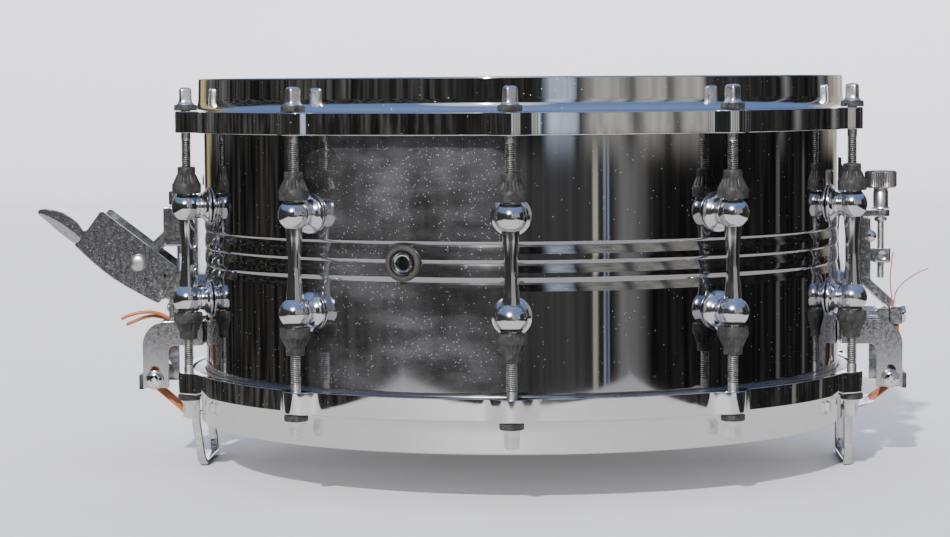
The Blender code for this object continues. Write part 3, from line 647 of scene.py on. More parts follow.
def make_cord(name, slot, colour, dark):
    look = Look(name, slot, colour, 0.0, 0.38)
    fibre = look.noise(1600.0, 4.0, 0.6, look.stretched((1.0, 1.0, 0.35)))
    cloud = look.noise(240.0, 3.0, 0.5)
    tone = look.mix(look.span(fibre, 0.35, 0.65), colour, dark)
    look.set(
        "Base Color",
        look.mix(look.span(cloud, 0.4, 0.75, 0.0, 0.5), tone, tuple(min(c * 1.5, 1.0) for c in colour))
    )
    look.set("Roughness", look.span(fibre, 0.3, 0.7, 0.28, 0.5))
    look.bump(fibre, 0.2, 0.0001)
    return look.material


def make_rubber():
    colour = (0.018, 0.018, 0.015)
    look = Look("vent_rubber", "dark_sleeve", colour, 0.0, 0.55)
    cloud = look.noise(420.0, 5.0, 0.65)
    look.set("Base Color", look.mix(look.span(cloud, 0.35, 0.7), colour, (0.045, 0.044, 0.038)))
    look.set("Roughness", look.span(cloud, 0.3, 0.7, 0.5, 0.7))
    look.bump(cloud, 0.1, 0.0001)
    return look.material


CHROME = make_plating("chrome", "chrome", (0.90, 0.91, 0.92), 0.022, 0.025)
CAST_CHROME = make_plating("cast_chrome", "chrome", (0.87, 0.87, 0.88), 0.075, 0.02, 0.05)
NICKEL = make_nickel()
ZINC = make_zinc("zinc_plate", "zinc_plate")
SLIDE_ZINC = make_zinc("slide_zinc", "chrome")
BRIGHT_ZINC = make_zinc("bright_zinc", "zinc_plate", (0.74, 0.75, 0.76))
STEEL = make_steel("turned_steel", "steel", (0.56, 0.55, 0.53), 0.20, 0.34)
THREAD = make_screw()
WIRE = make_steel("snare_steel", "steel", (0.60, 0.60, 0.60), 0.18, 0.28)
FLESH = make_steel("flesh_hoop_metal", "chrome", (0.66, 0.67, 0.69), 0.22, 0.34)
PEARL = make_steel("pearl_nickel", "zinc_plate", (0.74, 0.75, 0.72), 0.26, 0.36)
SLEEVE = make_sleeve()
RUBBER = make_rubber()
COATED = make_film("coated_film", "coated_film", (0.86, 0.86, 0.84), 1.0, 0.62, 0.5)
CLEAR = make_film("clear_film", "clear_film", (0.80, 0.82, 0.84), 0.42, 0.22, 0.05)
ORANGE = make_cord("orange_cord", "orange_cord", (0.42, 0.13, 0.022), (0.20, 0.055, 0.01))
COPPER = make_cord("copper_wire", "copper_wire", (0.45, 0.17, 0.11), (0.26, 0.08, 0.05))


# ---------------------------------------------------------------- shell, vent and heads


def groove(z, lip):
    """One rolled groove of the shell, from above: a short lip facing down, then a long slope facing up."""
    wall = SHELL_RADIUS
    return [
        (wall + 0.10, z + lip + 1.1),
        (wall + 0.02, z + lip + 0.45),
        (wall - 0.26, z + lip * 0.55),
        (wall - 0.60, z + 0.18),
        (wall - 0.66, z),
        (wall - 0.58, z - 0.28),
        (wall - 0.34, z - 1.3),
        (wall - 0.12, z - 2.5),
        (wall + 0.04, z - 3.6),
        (wall + 0.12, z - 4.6),
    ]


def build_shell():
    wall, inner = SHELL_RADIUS, SHELL_RADIUS - 1.2
    outer = [
        (171.75, 82.5), (172.1, 82.35), (wall - 0.35, 76.9), (wall, 76.2), (wall, 70.0), (wall, 40.0),
        (wall, 18.0),
    ]
    for z, lip in ((10.6, 0.8), (1.1, 0.9), (-8.5, 1.7)):
        outer += groove(z, lip)
    outer += [
        (wall, -17.5), (wall, -40.0), (wall, -70.0), (wall, -76.2), (wall - 0.35, -76.9), (172.1, -82.35),
    ]
    outer += [(171.75, -82.5)]
    inside = [
        (171.2, -82.4), (170.9, -82.0), (inner - 0.4, -76.2), (inner, -75.6), (inner, -12.0),
        (inner - 0.5, -8.5),
    ]
    inside += [(inner, -4.0), (inner - 0.5, 1.1), (inner, 6.0), (inner - 0.5, 10.6), (inner, 14.0)]
    inside += [(inner, 75.6), (inner - 0.4, 76.2), (170.9, 82.0), (171.2, 82.4)]
    body = lathe(outer + inside, 288)
    hole = moved(round_bar(-8, 8, 6.3, 48), vent_place())
    piece("shell_body", carved(body, [hole]), NICKEL, "drum", ["shell"])


def vent_place():
    turn = Matrix.Rotation(VENT_ANGLE, 4, "Z")
    return turn @ along("-Y", (0, -SHELL_RADIUS, 1.0))


def build_vent():
    place = DRUM @ scaled(vent_place())
    rubber = [(6.75, 0.1), (9.3, 0.1), (9.3, 1.7), (8.4, 2.3), (7.0, 2.3), (6.75, 1.6)]
    rubber = rounded(rubber, [0, 0, 0.8, 0.7, 0.3, 0], 5, True)
    piece("vent_grommet", lathe(rubber, 64), RUBBER, "drum", ["vent_eyelet"], place)
    eyelet = [(3.75, -1.0), (3.75, 1.35), (3.95, 1.75), (4.3, 1.85), (4.5, 1.55), (4.6, 0.2), (5.3, 0.2)]
    eyelet += [(5.35, 1.7), (5.55, 2.05), (5.9, 2.05), (6.1, 1.6), (6.1, 0.2), (5.9, 0.0), (5.9, -2.0)]
    eyelet += [(7.6, -2.2), (7.7, -2.6), (7.2, -2.9), (4.2, -2.6), (3.75, -2.0)]
    piece("vent_ring", lathe(eyelet, 64), CHROME, "drum", ["vent_eyelet"], place, 50)


def scaled(matrix):
    """A matrix in millimetres as one in metres."""
    made = matrix.copy()
    made.translation = made.translation * 0.001
    return made


def build_heads():
    for name, side, film in (("batter", 1, COATED), ("snare", -1, CLEAR)):
        nodes = [f"{name}_head"]
        top = [(0, 83.25), (90, 83.25), (150, 83.25), (170.6, 83.25), (171.9, 83.05), (173.0, 82.2)]
        top += [(177.9, 77.2), (178.35, 76.2), (178.4, 74.9), (178.9, 74.6), (180.2, 74.5)]
        under = [
            (180.2, 74.25), (178.75, 74.3), (178.12, 74.7), (178.1, 76.1), (177.7, 76.95), (172.8, 81.9),
        ]
        under += [(171.8, 82.75), (170.6, 83.0), (150, 83.0), (90, 83.0), (0, 83.0)]
        sheet = lathe([(r, side * z) for r, z in top + under], 240)
        piece(f"{name}_film", sheet, film, "drum", nodes, DRUM, 60)
        hoop = [(178.25, 66.4), (184.4, 66.4), (184.5, 74.5), (179.4, 74.5), (178.25, 73.6)]
        hoop = rounded(hoop, [0.5, 0.8, 1.0, 0.6, 0.5], 4, True)
        piece(f"{name}_flesh_hoop", lathe([(r, side * z) for r, z in hoop], 240), FLESH, "drum", nodes)


# ---------------------------------------------------------------- hoops


def ear_reach(angle, flange, boss, blend):
    """How far out the hoop's flange reaches at an angle, with a filleted boss at each rod."""
    step = 2 * math.pi / LUG_COUNT
    off = (angle + step / 2) % step - step / 2
    if abs(off) > EAR_ANGLE:
        return flange
    low, high = flange - 1, ROD_CIRCLE + boss + 1
    for _ in range(30):
        r = (low + high) / 2
        x, y = r * math.sin(off), r * math.cos(off)
        to_boss = math.hypot(x, y - ROD_CIRCLE - EAR_REACH + boss) - boss
        to_flange = r - flange
        share = max(blend - abs(to_boss - to_flange), 0) / blend
        distance = min(to_boss, to_flange) - share * share * blend / 4
        if distance < 0:
            low = r
        else:
            high = r
    return (low + high) / 2


def lug_angle(index):
    return 2 * math.pi * index / LUG_COUNT


def hoop_angles():
    """Angles round the hoop, close together over the ears and wider between them."""
    step = 2 * math.pi / LUG_COUNT
    found = []
    for lug in range(LUG_COUNT):
        for index in range(-22, 22):
            found.append(lug * step + index * EAR_ANGLE / 22)
        for index in range(16):
            found.append(lug * step + EAR_ANGLE + (step - 2 * EAR_ANGLE) * index / 16)
    return sorted(a % (2 * math.pi) for a in found)


def hoop_shape(side):
    flange = rounded(
        [(185.2, 65.6), (FLANGE_RADIUS, 65.6), (FLANGE_RADIUS, 77.4), (185.6, 77.4)], [0, 0.55, 0.9, 0], 5,
    )
    sweep = [(184.6, 77.5), (183.6, 77.9), (182.7, 78.6), (182.0, 79.5), (181.4, 80.7), (181.0, 82.2)]
    rim = rounded([(180.85, 84.0), (180.6, 95.0), (177.1, 95.0), (177.1, 84.4)], [0, 1.15, 0.9, 0], 6)
    inside = rounded(
        [(177.1, 84.4), (178.9, 82.4), (178.9, 75.2), (185.2, 75.2), (185.2, 65.6)],
        [0.4, 0.6, 0.8, 0.8, 0], 3,
    )
    profile = flange + sweep + rim + inside[1:-1]
    top_out = {index for index in range(len(flange)) if flange[index][0] > 186.5}
    angles = hoop_angles()
    loops = []
    for a in angles:
        reach = ear_reach(a, FLANGE_RADIUS, 9.0, 6.0)
        loop = []
        for index, (r, z) in enumerate(profile):
            if index in top_out:
                r += reach - FLANGE_RADIUS
            loop.append((r * math.sin(a), -r * math.cos(a), side * z))
        loops.append(loop)
    return loft(loops, ring=True)


def build_hoops():
    for name, side in (("batter_hoop", 1), ("snare_hoop", -1)):
        cutters = []
        for index in range(LUG_COUNT):
            turn = Matrix.Rotation(lug_angle(index), 4, "Z")
            bore = round_bar(side * 60, side * 84, 3.15, 32)
            cutters.append(moved(bore, turn @ TO_ROD))
        if side < 0:
            gate = rounded(rectangle(-24, 24, -100, -79.6), [0, 0, 2.2, 2.2], 5, True)
            cutters.append(prism(gate, -200, -150, "X", 0))
            cutters.append(prism(gate, 150, 200, "X", 0))
        piece(f"{name}_casting", carved(hoop_shape(side), cutters, angle=32), CHROME, "drum", [name], DRUM)
    build_guard_hooks()


def build_guard_hooks():
    """The small hooks through which each stirrup's springy ends hold on to the lower hoop's rim."""
    outline = rounded(rectangle(-1.3, 1.3, -86.6, -81.4), 0.5, 3, True)
    hook = prism(outline, -182.3, -180.2, "Y", 0.3)
    for number, degrees in enumerate((67.5, 112.5, -112.5, -67.5), 1):
        turn = Matrix.Rotation(math.radians(degrees), 4, "Z")
        piece(f"rim_hook_{number}", moved(hook, turn), CHROME, "drum")


# ---------------------------------------------------------------- lugs and tension rods


def ball_shape(side):
    """One end of a lug: the flattened ball on its neck, the bead round it, and its stepped foot."""
    neck = [
        (0, 177.95), (10.2, 177.95), (10.4, 178.3), (10.25, 179.0), (8.9, 179.35), (8.6, 179.7),
        (8.0, 180.5),
    ]
    neck += [
        (6.7, 181.2), (6.3, 181.7), (6.5, 182.0), (6.3, 182.4), (5.9, 183.2), (6.0, 184.0), (6.7, 185.1),
    ]
    neck += arc((0, 190.2), 8.35, -27, 90, 22)
    flat = lathe(neck, 56)
    points, faces = moved(flat, along("-Y"))
    squeezed = []
    for x, y, z in points:
        if -y > 183 and z * side > 7.2:
            z = side * (7.2 + 0.1 * (z * side - 7.2))
        squeezed.append((x, y, z + side * 25.3))
    return squeezed, faces


def lug_shape():
    post = [(0, 20.0), (4.7, 20.0), (4.55, 17.0), (4.1, 13.0), (3.75, 9.0), (3.45, 4.5), (3.35, 0)]
    post = post + [(r, -z) for r, z in reversed(post[:-1])]
    parts = [moved(lathe(post, 40), TO_ROD)]
    for side in (-1, 1):
        parts.append(ball_shape(side))
        collar = rounded(rectangle(3.2, 5.3, 31.6, 32.95), [0, 0.2, 0.2, 0], 3, True)
        parts.append(moved(lathe([(r, side * z) for r, z in collar], 40), TO_ROD))
    return together(*parts)


def cone_shape(side):
    """The dark cone at one end of a lug: band, fluted taper and plain collar, open down its middle."""
    outer = [
        (7.5, 32.6), (7.8, 32.8), (7.9, 33.1), (7.9, 37.6), (7.75, 37.9), (7.45, 38.05), (7.35, 38.4),
        (7.1, 38.9),
    ]
    outer += [
        (5.55, 42.3), (5.2, 42.9), (4.95, 43.05), (4.9, 43.4), (4.9, 46.3), (4.75, 46.8), (4.35, 47.1),
    ]
    inner = [(3.1, 47.1), (2.95, 46.6), (2.95, 33.1), (6.2, 33.1), (6.5, 32.6)]
    cut = {6: 0.15, 7: 0.75, 8: 0.5, 9: 0.1}

    def fluted(index, a, r):
        wave = abs(((a * CONE_FLUTES / (2 * math.pi)) % 1) * 2 - 1)
        return r - cut.get(index, 0.0) * max(0.0, 1 - 1.5 * wave)

    profile = [(r, side * z) for r, z in outer + inner]
    return moved(lathe(profile, CONE_FLUTES * 6, fluted), TO_ROD)


def build_lugs():
    casting = new_mesh("lug_casting", lug_shape(), 42)
    cones = {side: new_mesh("cone", cone_shape(side), 30) for side in (-1, 1)}
    for index in range(LUG_COUNT):
        number = f"{index + 1:02d}"
        place = DRUM @ Matrix.Rotation(lug_angle(index), 4, "Z")
        node = [f"lug_{number}"]
        piece(f"lug_casting_{number}", casting, CAST_CHROME, "drum", node, place)
        piece(f"lug_cone_top_{number}", cones[1], SLEEVE, "drum", node, place)
        piece(f"lug_cone_low_{number}", cones[-1], SLEEVE, "drum", node, place)


def squircle(half, corner, z, blend, radius, sides=48):
    """A loop between a circle and a rounded square."""
    loop = []
    for step in range(sides):
        a = 2 * math.pi * step / sides
        c, s = math.cos(a), math.sin(a)
        power = 2 + corner
        square = half / (abs(c) ** power + abs(s) ** power) ** (1 / power)
        r = radius * (1 - blend) + square * blend
        loop.append((r * c, r * s, z))
    return loop


def rod_shapes(side, top):
    """A tension rod on its own axis: threaded and plain shank, flared shoulder, square head, domed end."""
    screw = thread(19.0, 62.2, 2.75, 2.2, 1.06)
    shank = lathe([(0, 61.8), (2.55, 61.8), (2.64, 62.3), (2.64, 77.9), (0, 77.9)], 32)
    rows = [(0.0, 3.2, 80.2), (0.0, 4.7, 80.75), (0.0, 4.85, 81.0), (0.0, 4.7, 81.35), (0.15, 4.1, 81.9)]
    rows += [
        (0.5, 3.75, 82.8), (0.85, 3.55, 84.0), (1.0, 3.5, 85.2), (1.0, 3.45, top - 1.6),
        (1.0, 3.3, top - 0.9),
    ]
    rows += [(0.8, 2.8, top - 0.35), (0.5, 1.9, top - 0.06), (0.3, 0.9, top)]
    head = loft([squircle(r * 0.94, 3.2, z, blend, r) for blend, r, z in rows])
    whole = together(screw, shank, head)
    washer = [
        (2.75, 77.72), (5.9, 77.72), (6.3, 78.1), (6.15, 80.5), (5.8, 80.85), (3.2, 80.85), (2.75, 80.5),
    ]
    washer = lathe(rounded(washer, [0.2, 0.3, 0.3, 0.3, 0.25, 0.2, 0], 3, True), 48)
    flip = Matrix.Scale(side, 4, (0, 0, 1))
    return moved(whole, flip), moved(washer, flip)


def build_rods():
    for kind, side, top in (("batter", 1, 90.3), ("snare", -1, 90.9)):
        screw, washer = rod_shapes(side, top)
        screw = new_mesh(f"{kind}_screw", screw, 40)
        washer = new_mesh(f"{kind}_washer", washer, 40)
        for index in range(LUG_COUNT):
            number = f"{index + 1:02d}"
            angle = lug_angle(index)
            spot = Matrix.Translation(
                (0.001 * ROD_CIRCLE * math.sin(angle), -0.001 * ROD_CIRCLE * math.cos(angle), 0)
            )
            place = DRUM @ spot @ Matrix.Rotation(angle + 0.45 + index * 1.31, 4, "Z")
            node = f"{kind}_rod_{number}"
            piece(f"{kind}_screw_{number}", screw, THREAD, node, [node], place)
            piece(f"{kind}_washer_{number}", washer, SLEEVE, node, [node], place)


# ---------------------------------------------------------------- fasteners and knobs


def pan_head(radius, height):
    """A pan-head screw's head, seen along its axis, and the cutters of the cross recess in its top."""
    dome = [
        (0, 0), (radius, 0), (radius, height * 0.35), (radius * 0.93, height * 0.72),
        (radius * 0.72, height * 0.95),
    ]
    dome += [(radius * 0.4, height), (0, height)]
    shape = lathe(dome, 48)
    arm, wide = radius * 0.58, radius * 0.15
    cross = []
    for turn in (0, 1):
        size = (arm, wide) if turn == 0 else (wide, arm)
        top = [(-size[0], -size[1]), (size[0], -size[1]), (size[0], size[1]), (-size[0], size[1])]
        low = [(x * 0.45, y * 0.45) for x, y in top]
        cross.append(
            loft([[(x, y, height * 0.25) for x, y in low], [(x, y, height * 1.2) for x, y in top]])
        )
    return shape, cross


def screw_mesh(radius, height, matrix):
    shape, cross = pan_head(radius, height)
    mesh = carved(shape, cross, angle=30)
    mesh.transform(matrix)
    return mesh


def knurled(low, high, radius, ridges, edge, depth=0.35, hollow=0.0):
    """A knurled knob: chamfered at both ends, with straight ridges between, and a shallow dish on top."""
    profile = [(0, low), (radius - edge, low), (radius - 0.15, low + edge), (radius, low + edge + 0.25)]
    profile += [(radius, high - edge - 0.25), (radius - 0.15, high - edge), (radius - edge, high)]
    profile += [(radius * 0.62, high), (radius * 0.55, high - hollow), (0, high - hollow)]

    def ridged(index, a, r):
        if index in (3, 4):
            return r - depth * (0.5 + 0.5 * math.cos(ridges * a)) ** 0.7
        return r

    return lathe(profile, ridges * 6, ridged)


# ---------------------------------------------------------------- throw-off


PIVOT = (203.3, -24.5)
RIVET = (215.4, -8.2)
LINK_TOP = (199.2, 8.1)


def pin_bore(centre, radius, half=20):
    return moved(round_bar(-half, half, radius, 32), along("Y", (centre[0], 0, centre[1])))


def build_strainer_base():
    add = partial(piece, body="drum", nodes=["strainer_base"], place=STRAINER)
    plate_outline = rounded(rectangle(-16, 16, -34, 30), 2.5, 5, True)
    plate = prism(plate_outline, 181.3, 183.4, "X", 0.4)
    nose = arc(PIVOT, 4.9, -120, 60, 14)
    wall = rounded([(183.0, 28), (183.0, -33.4), (188, -33.4)], [0, 0.5, 0], 2) + nose
    wall += rounded([(190, -12), (189, 28), (183.0, 28)], [0, 1.6, 0], 4)[:-1]
    mesh = carved(plate, [pin_bore(PIVOT, 2.0)], pair(wall, 11.2, 12.9, 0.3), angle=35)
    add("strainer_frame", mesh, BRIGHT_ZINC)
    for number, z in enumerate((0.0, -12.75), 1):
        rib = block((182.0, 185.4), (-18.4, 18.4), (z - 1.25, z + 1.25), 0.4, 0.5)
        add(f"strainer_rib_{number}", rib, BRIGHT_ZINC)
    for number, z in enumerate((22.5, -27.5), 1):
        pad = block((178.4, 181.5), (-9, 9), (z - 6, z + 6), 0.4, 1.0)
        add(f"strainer_pad_{number}", pad, SLEEVE)
        screw = screw_mesh(3.4, 1.7, along("X", (183.4, 0, z)))
        add(f"strainer_screw_{number}", screw, STEEL)


def lever_lower():
    return [
        (203.9, -31.6), (209.0, -29.2), (213.9, -26.5), (221.5, -22.3), (228.9, -17.7), (234.6, -13.4),
        (239.8, -9.0), (245.5, -3.8), (250.7, 1.6),
    ]


def build_lever():
    add = partial(piece, body="throw_off_lever", nodes=["throw_off_lever"], place=STRAINER)
    cheek = [(193.0, -11.4)] + lever_lower() + [(236.0, 21.5)]
    radii = [1.2, 2.0] + [0] * 7 + [2.5, 1.5]
    cheek = rounded(cheek, radii, 5, True)
    holes = [pin_bore(PIVOT, 1.75), pin_bore((200.4, -15.6), 1.0)]
    web = strip_outline([(x + 0.4, z + 0.9) for x, z in lever_lower()[1:]], 1.4)
    first, second = pair(cheek, 13.3, 14.5, 0.3)
    mesh = carved(first, holes, [second, prism(web, -13.9, 13.9, "Y", 0)], 35)
    add("lever_channel", mesh, ZINC)
    rows = [
        (273.6, 20.6, 19.4, 6.0), (272.6, 21.6, 18.6, 7.6), (269.5, 22.2, 16.6, 9.4),
        (264.5, 21.9, 13.0, 10.3),
    ]
    rows += [
        (258.5, 20.2, 8.4, 10.5), (253.5, 17.0, 4.6, 10.5), (250.5, 14.6, 2.4, 10.5),
        (247.0, 9.5, 0.0, 10.5),
    ]
    loops = []
    for x, top, bottom, half in rows:
        middle = top - 0.52 * (top - bottom)
        tip = min((top - bottom) * 0.1, 0.8)
        section = [
            (-half, top), (half, top), (half, middle), (half * 0.55, bottom), (-half * 0.55, bottom),
            (-half, middle),
        ]
        loops.append([(x + 0.25 * (top - z), y, z) for y, z in rounded(section, tip, 3, True)])
    add("lever_tab", loft(loops), ZINC, angle=30)
    axle = moved(round_bar(-14.4, 14.4, 1.5, 24), along("Y", (RIVET[0], 0, RIVET[1])))
    add("lever_axle", axle, STEEL)
    dome = [
        (0, 14.45), (4.75, 14.45), (4.8, 14.75), (4.6, 15.2), (4.0, 15.75), (3.0, 16.2), (1.6, 16.45),
        (0, 16.5),
    ]
    for number, axis in enumerate(("Y", "-Y"), 1):
        head = moved(lathe(dome, 48), along(axis, (RIVET[0], 0, RIVET[1])))
        add(f"lever_rivet_{number}", head, PEARL)


def build_lever_pin():
    """A rolled pin: a split tube of spring steel, whose dark middle shows in the lever's holes."""
    outline = arc((0, 0), 1.6, 15, 345, 28) + arc((0, 0), 1.05, 345, 15, 28)
    pin = moved(
        prism([(x, z) for x, z in outline], -13.25, 13.25, "Y", 0.12),
        Matrix.Translation((PIVOT[0], 0, PIVOT[1])),
    )
    piece("rolled_pin", pin, STEEL, "drum", ["lever_pin"], STRAINER)


def build_link():
    add = partial(piece, body="throw_off_link", nodes=["throw_off_link"], place=STRAINER)
    run = Vector(LINK_TOP) - Vector(RIVET)
    aim = math.degrees(math.atan2(run.y, run.x))
    outline = arc(RIVET, 3.4, aim + 90, aim + 270, 16) + arc(LINK_TOP, 2.6, aim - 90, aim + 90, 16)
    for number, plate in enumerate(pair(outline, 4.3, 6.1, 0.3), 1):
        plate = carved(plate, [pin_bore(RIVET, 1.75)])
        add(f"link_plate_{number}", plate, BRIGHT_ZINC)
    middle = (Vector(RIVET) + Vector(LINK_TOP)) / 2
    pins = (("link_spacer", middle, 1.5, 4.4), ("link_top_pin", Vector(LINK_TOP), 1.4, 6.4))
    for name, spot, radius, half in pins:
        bar = rounded([(0, -half), (radius, -half), (radius, half), (0, half)], [0, 0.3, 0.3, 0], 3)
        add(name, moved(lathe(bar, 28), along("Y", (spot.x, 0, spot.y))), STEEL)


def build_slide():
    outline = rounded(rectangle(185.8, 201.6, 0.8, 23.2), [0.8, 3.2, 1.0, 0.8], 6, True)
    body = prism(outline, -10.8, 10.8, "Y", 0.9)
    recess = block((195.7, 205.0), (-6.6, 6.6), (-3.0, 17.5), 0, 0)
    bore = moved(round_bar(-3, 26, 3.0, 32), STRAINER_AXIS)
    mesh = carved(body, [recess, bore], angle=35)
    piece("slide_block", mesh, SLIDE_ZINC, "strainer_slide", ["strainer_slide"], STRAINER)


def build_tension_knob():
    add = partial(piece, body="strainer_knob", nodes=["strainer_tension_knob"], place=STRAINER)
    knob = moved(knurled(23.6, 31.6, 6.6, 36, 0.6, 0.3, 0.5), STRAINER_AXIS)
    add("tension_knob", knob, STEEL, angle=30)
    screw = moved(thread(-40.9, 22.6, 2.6, 2.15, 0.9), STRAINER_AXIS)
    neck = moved(round_bar(22.4, 23.8, 2.3, 24), STRAINER_AXIS)
    add("tension_screw", together(screw, neck), THREAD)


def build_cord_clamp():
    add = partial(piece, body="cord_clamp", nodes=["strainer_cord_clamp"], place=STRAINER)
    body = block((188.5, 199.0), (-10.8, 10.8), (-43.0, -29.5), 0.5, 0.9)
    bore = moved(round_bar(-50, -20, 3.0, 28), STRAINER_AXIS)
    split = block((196.05, 196.35), (-12, 12), (-48, -33), 0, 0)
    add("clamp_block", carved(body, [bore, split], angle=35), BRIGHT_ZINC)
    for number, y in enumerate((-7.4, 7.4), 1):
        screw = screw_mesh(2.4, 1.5, along("X", (198.9, y, -34.0)))
        add(f"clamp_screw_{number}", screw, STEEL)


# ---------------------------------------------------------------- butt


def build_butt_base():
    add = partial(piece, body="drum", nodes=["butt_base"], place=BUTT)
    outline = rounded(rectangle(-15, 15, -34, 22), 2.5, 5, True)
    plate = prism(outline, 181.3, 183.4, "X", 0.4)
    arm = [(183.0, -5.0), (202.4, -5.0)] + arc((202.4, 0), 5.0, -90, 90, 16)[1:-1] + [
        (202.4, 5.0), (183.0, 5.0),
    ]
    joined = [prism(arm, 15.4, 19.2, "Z", 0.5)]
    for side in (-1, 1):
        levels = sorted((side * 3.8, side * 5.5))
        joined.append(block((183.0, 192.4), levels, (-24.8, 15.8), 0.3, 0.8))
    bore = moved(round_bar(8, 26, 2.3, 28), BUTT_AXIS)
    add("butt_frame", carved(plate, [bore], joined, angle=35), BRIGHT_ZINC)
    for number, (low, high) in enumerate(((16.2, 21.4), (-33.4, -21.6)), 1):
        pad = block((178.4, 181.5), (-9, 9), (low, high), 0.4, 1.0)
        add(f"butt_pad_{number}", pad, SLEEVE)
    for number, (y, z) in enumerate(((-10.5, -28), (10.5, -28), (-10.5, 16), (10.5, 16)), 1):
        screw = screw_mesh(2.9, 1.6, along("X", (183.3, y, z)))
        add(f"butt_plate_screw_{number}", screw, STEEL)


def build_butt_knob():
    add = partial(piece, body="butt_knob", nodes=["butt_tension_knob"], place=BUTT)
    knob = moved(knurled(31.4, 41.1, 8.95, 44, 0.8, 0.42, 0.5), BUTT_AXIS)
    add("butt_knob_head", knob, STEEL, angle=30)
    sleeve = [
        (0, 19.65), (4.9, 19.65), (5.05, 20.0), (4.9, 20.45), (4.25, 20.7), (4.25, 29.6), (4.0, 30.0),
        (4.0, 31.6), (0, 31.6),
    ]
    collar = rounded(
        [(0, 12.65), (3.1, 12.65), (3.55, 13.4), (3.55, 14.6), (3.1, 14.95), (0, 14.95)],
        [0, 0.2, 0.2, 0.2, 0.2, 0], 3,
    )
    screw = thread(-19.2, 12.9, 2.05, 1.72, 0.7)
    neck = round_bar(12.0, 20.0, 1.9, 24)
    whole = moved(together(lathe(sleeve, 48), lathe(collar, 40), screw, neck), BUTT_AXIS)
    add("butt_screw", whole, THREAD)


def build_butt_slide():
    add = partial(piece, body="butt_slide", nodes=["butt_slide"], place=BUTT)
    nut_outline = rounded(rectangle(197.5, 207.5, -6.2, 6.2), 1.6, 4, True)
    nut = prism(nut_outline, -10.4, -2.1, "Z", 0.8)
    bore = moved(round_bar(-14, 2, 2.15, 28), BUTT_AXIS)
    dimple = moved(lathe([(0, 4.4), (2.6, 5.2), (2.6, 8), (0, 8)], 28), along("-Y", (202.9, 0, -6.2)))
    add("butt_nut", carved(nut, [bore, dimple], angle=35), BRIGHT_ZINC)
    path = rounded([(193.5, 14.6), (193.5, -20.8), (208.2, -34.4)], [0, 5.0, 0], 8)
    for number, side in enumerate((-1, 1), 1):
        levels = sorted((side * 6.1, side * 7.7))
        arm = prism(strip_outline(path, 5.4), levels[0], levels[1], "Y", 0.55)
        add(f"butt_arm_{number}", arm, BRIGHT_ZINC)
        stud = [(0, 7.5), (3.3, 7.5), (3.4, 7.8), (3.1, 8.4), (2.2, 9.0), (1.0, 9.3), (0, 9.35)]
        stud = moved(lathe(stud, 36), along("Y" if side > 0 else "-Y", (195.9, 0, 4.8)))
        add(f"butt_stud_{number}", stud, CHROME)
        lug = block((196.3, 198.6), levels, (-9.6, -3.0), 0.3, 0.4)
        add(f"butt_arm_lug_{number}", lug, BRIGHT_ZINC)
        bar = rounded(rectangle(0, 1.5, 188.6, 200.4), [0, 0.4, 0.2, 0], 3)
        for row, z in enumerate((-37.3, -41.4), 1):
            rail = moved(lathe(bar, 28), along("X", (0, side * 7.0, z)))
            add(f"butt_rail_{number}{row}", rail, BRIGHT_ZINC)
    inner = block((199.6, 206.2), (-10.8, 10.8), (-44.7, -35.4), 0.6, 0.9)
    outer = block((206.6, 213.6), (-10.8, 10.8), (-44.7, -34.7), 0.6, 0.9)
    add("butt_clamp_inner", inner, BRIGHT_ZINC)
    add("butt_clamp_outer", outer, ZINC)
    rim = rounded(
        [(0, 213.5), (4.7, 213.5), (4.85, 214.2), (4.85, 215.6), (4.2, 216.4), (0, 216.5)],
        [0, 0.2, 0.2, 0.4, 0.4, 0], 3,
    )
    slot = block((215.5, 218), (-6, 6), (-40.25, -39.05), 0, 0)
    head = carved(moved(lathe(rim, 48), along("X", (0, 0, -39.65))), [slot], angle=35)
    add("butt_clamp_screw", head, CHROME)


# ---------------------------------------------------------------- guides and guards


def build_guides():
    for name, place in (("strainer", STRAINER), ("butt", BUTT)):
        cheek = [(178.5, -41.0)] + arc((199.0, -54.6), 13.6, 90, 0, 16)
        cheek += rounded(
            [(212.6, -78.6), (198.0, -78.6), (198.0, -54.6), (178.5, -54.6)], [0.8, 0.8, 4.2, 0.3], 8,
        )
        slots = arc((206.0, -69.2), 3.1, 0, 180, 12) + arc(GUIDE_BAR, 3.1, 180, 360, 12)
        node = [f"{name}_guide"]
        add = partial(piece, body="drum", nodes=node, place=place)
        sides = zip(pair(cheek, 19.7, 21.2, 0.35), pair(slots, 18.7, 22.2, 0))
        for number, (plate, cut) in enumerate(sides, 1):
            add(f"{name}_cheek_{number}", carved(plate, [cut], angle=35), ZINC)
        back = prism(rounded(rectangle(-20.9, 20.9, -54.4, -41.2), 0.8, 3, True), 178.4, 179.8, "X", 0.3)
        add(f"{name}_guide_back", back, ZINC)
        for number, y in enumerate((-11, 11), 1):
            screw = screw_mesh(3.1, 1.8, along("X", (179.7, y, -47.8)))
            add(f"{name}_guide_screw_{number}", screw, STEEL)
        bridge = prism(rounded(rectangle(-21.1, 21.1, -79.4, -71.1), 0.8, 3, True), 212.4, 214.9, "X", 0.3)
        add(f"{name}_bridge", bridge, SLEEVE)
        build_guide_bar(name, place)


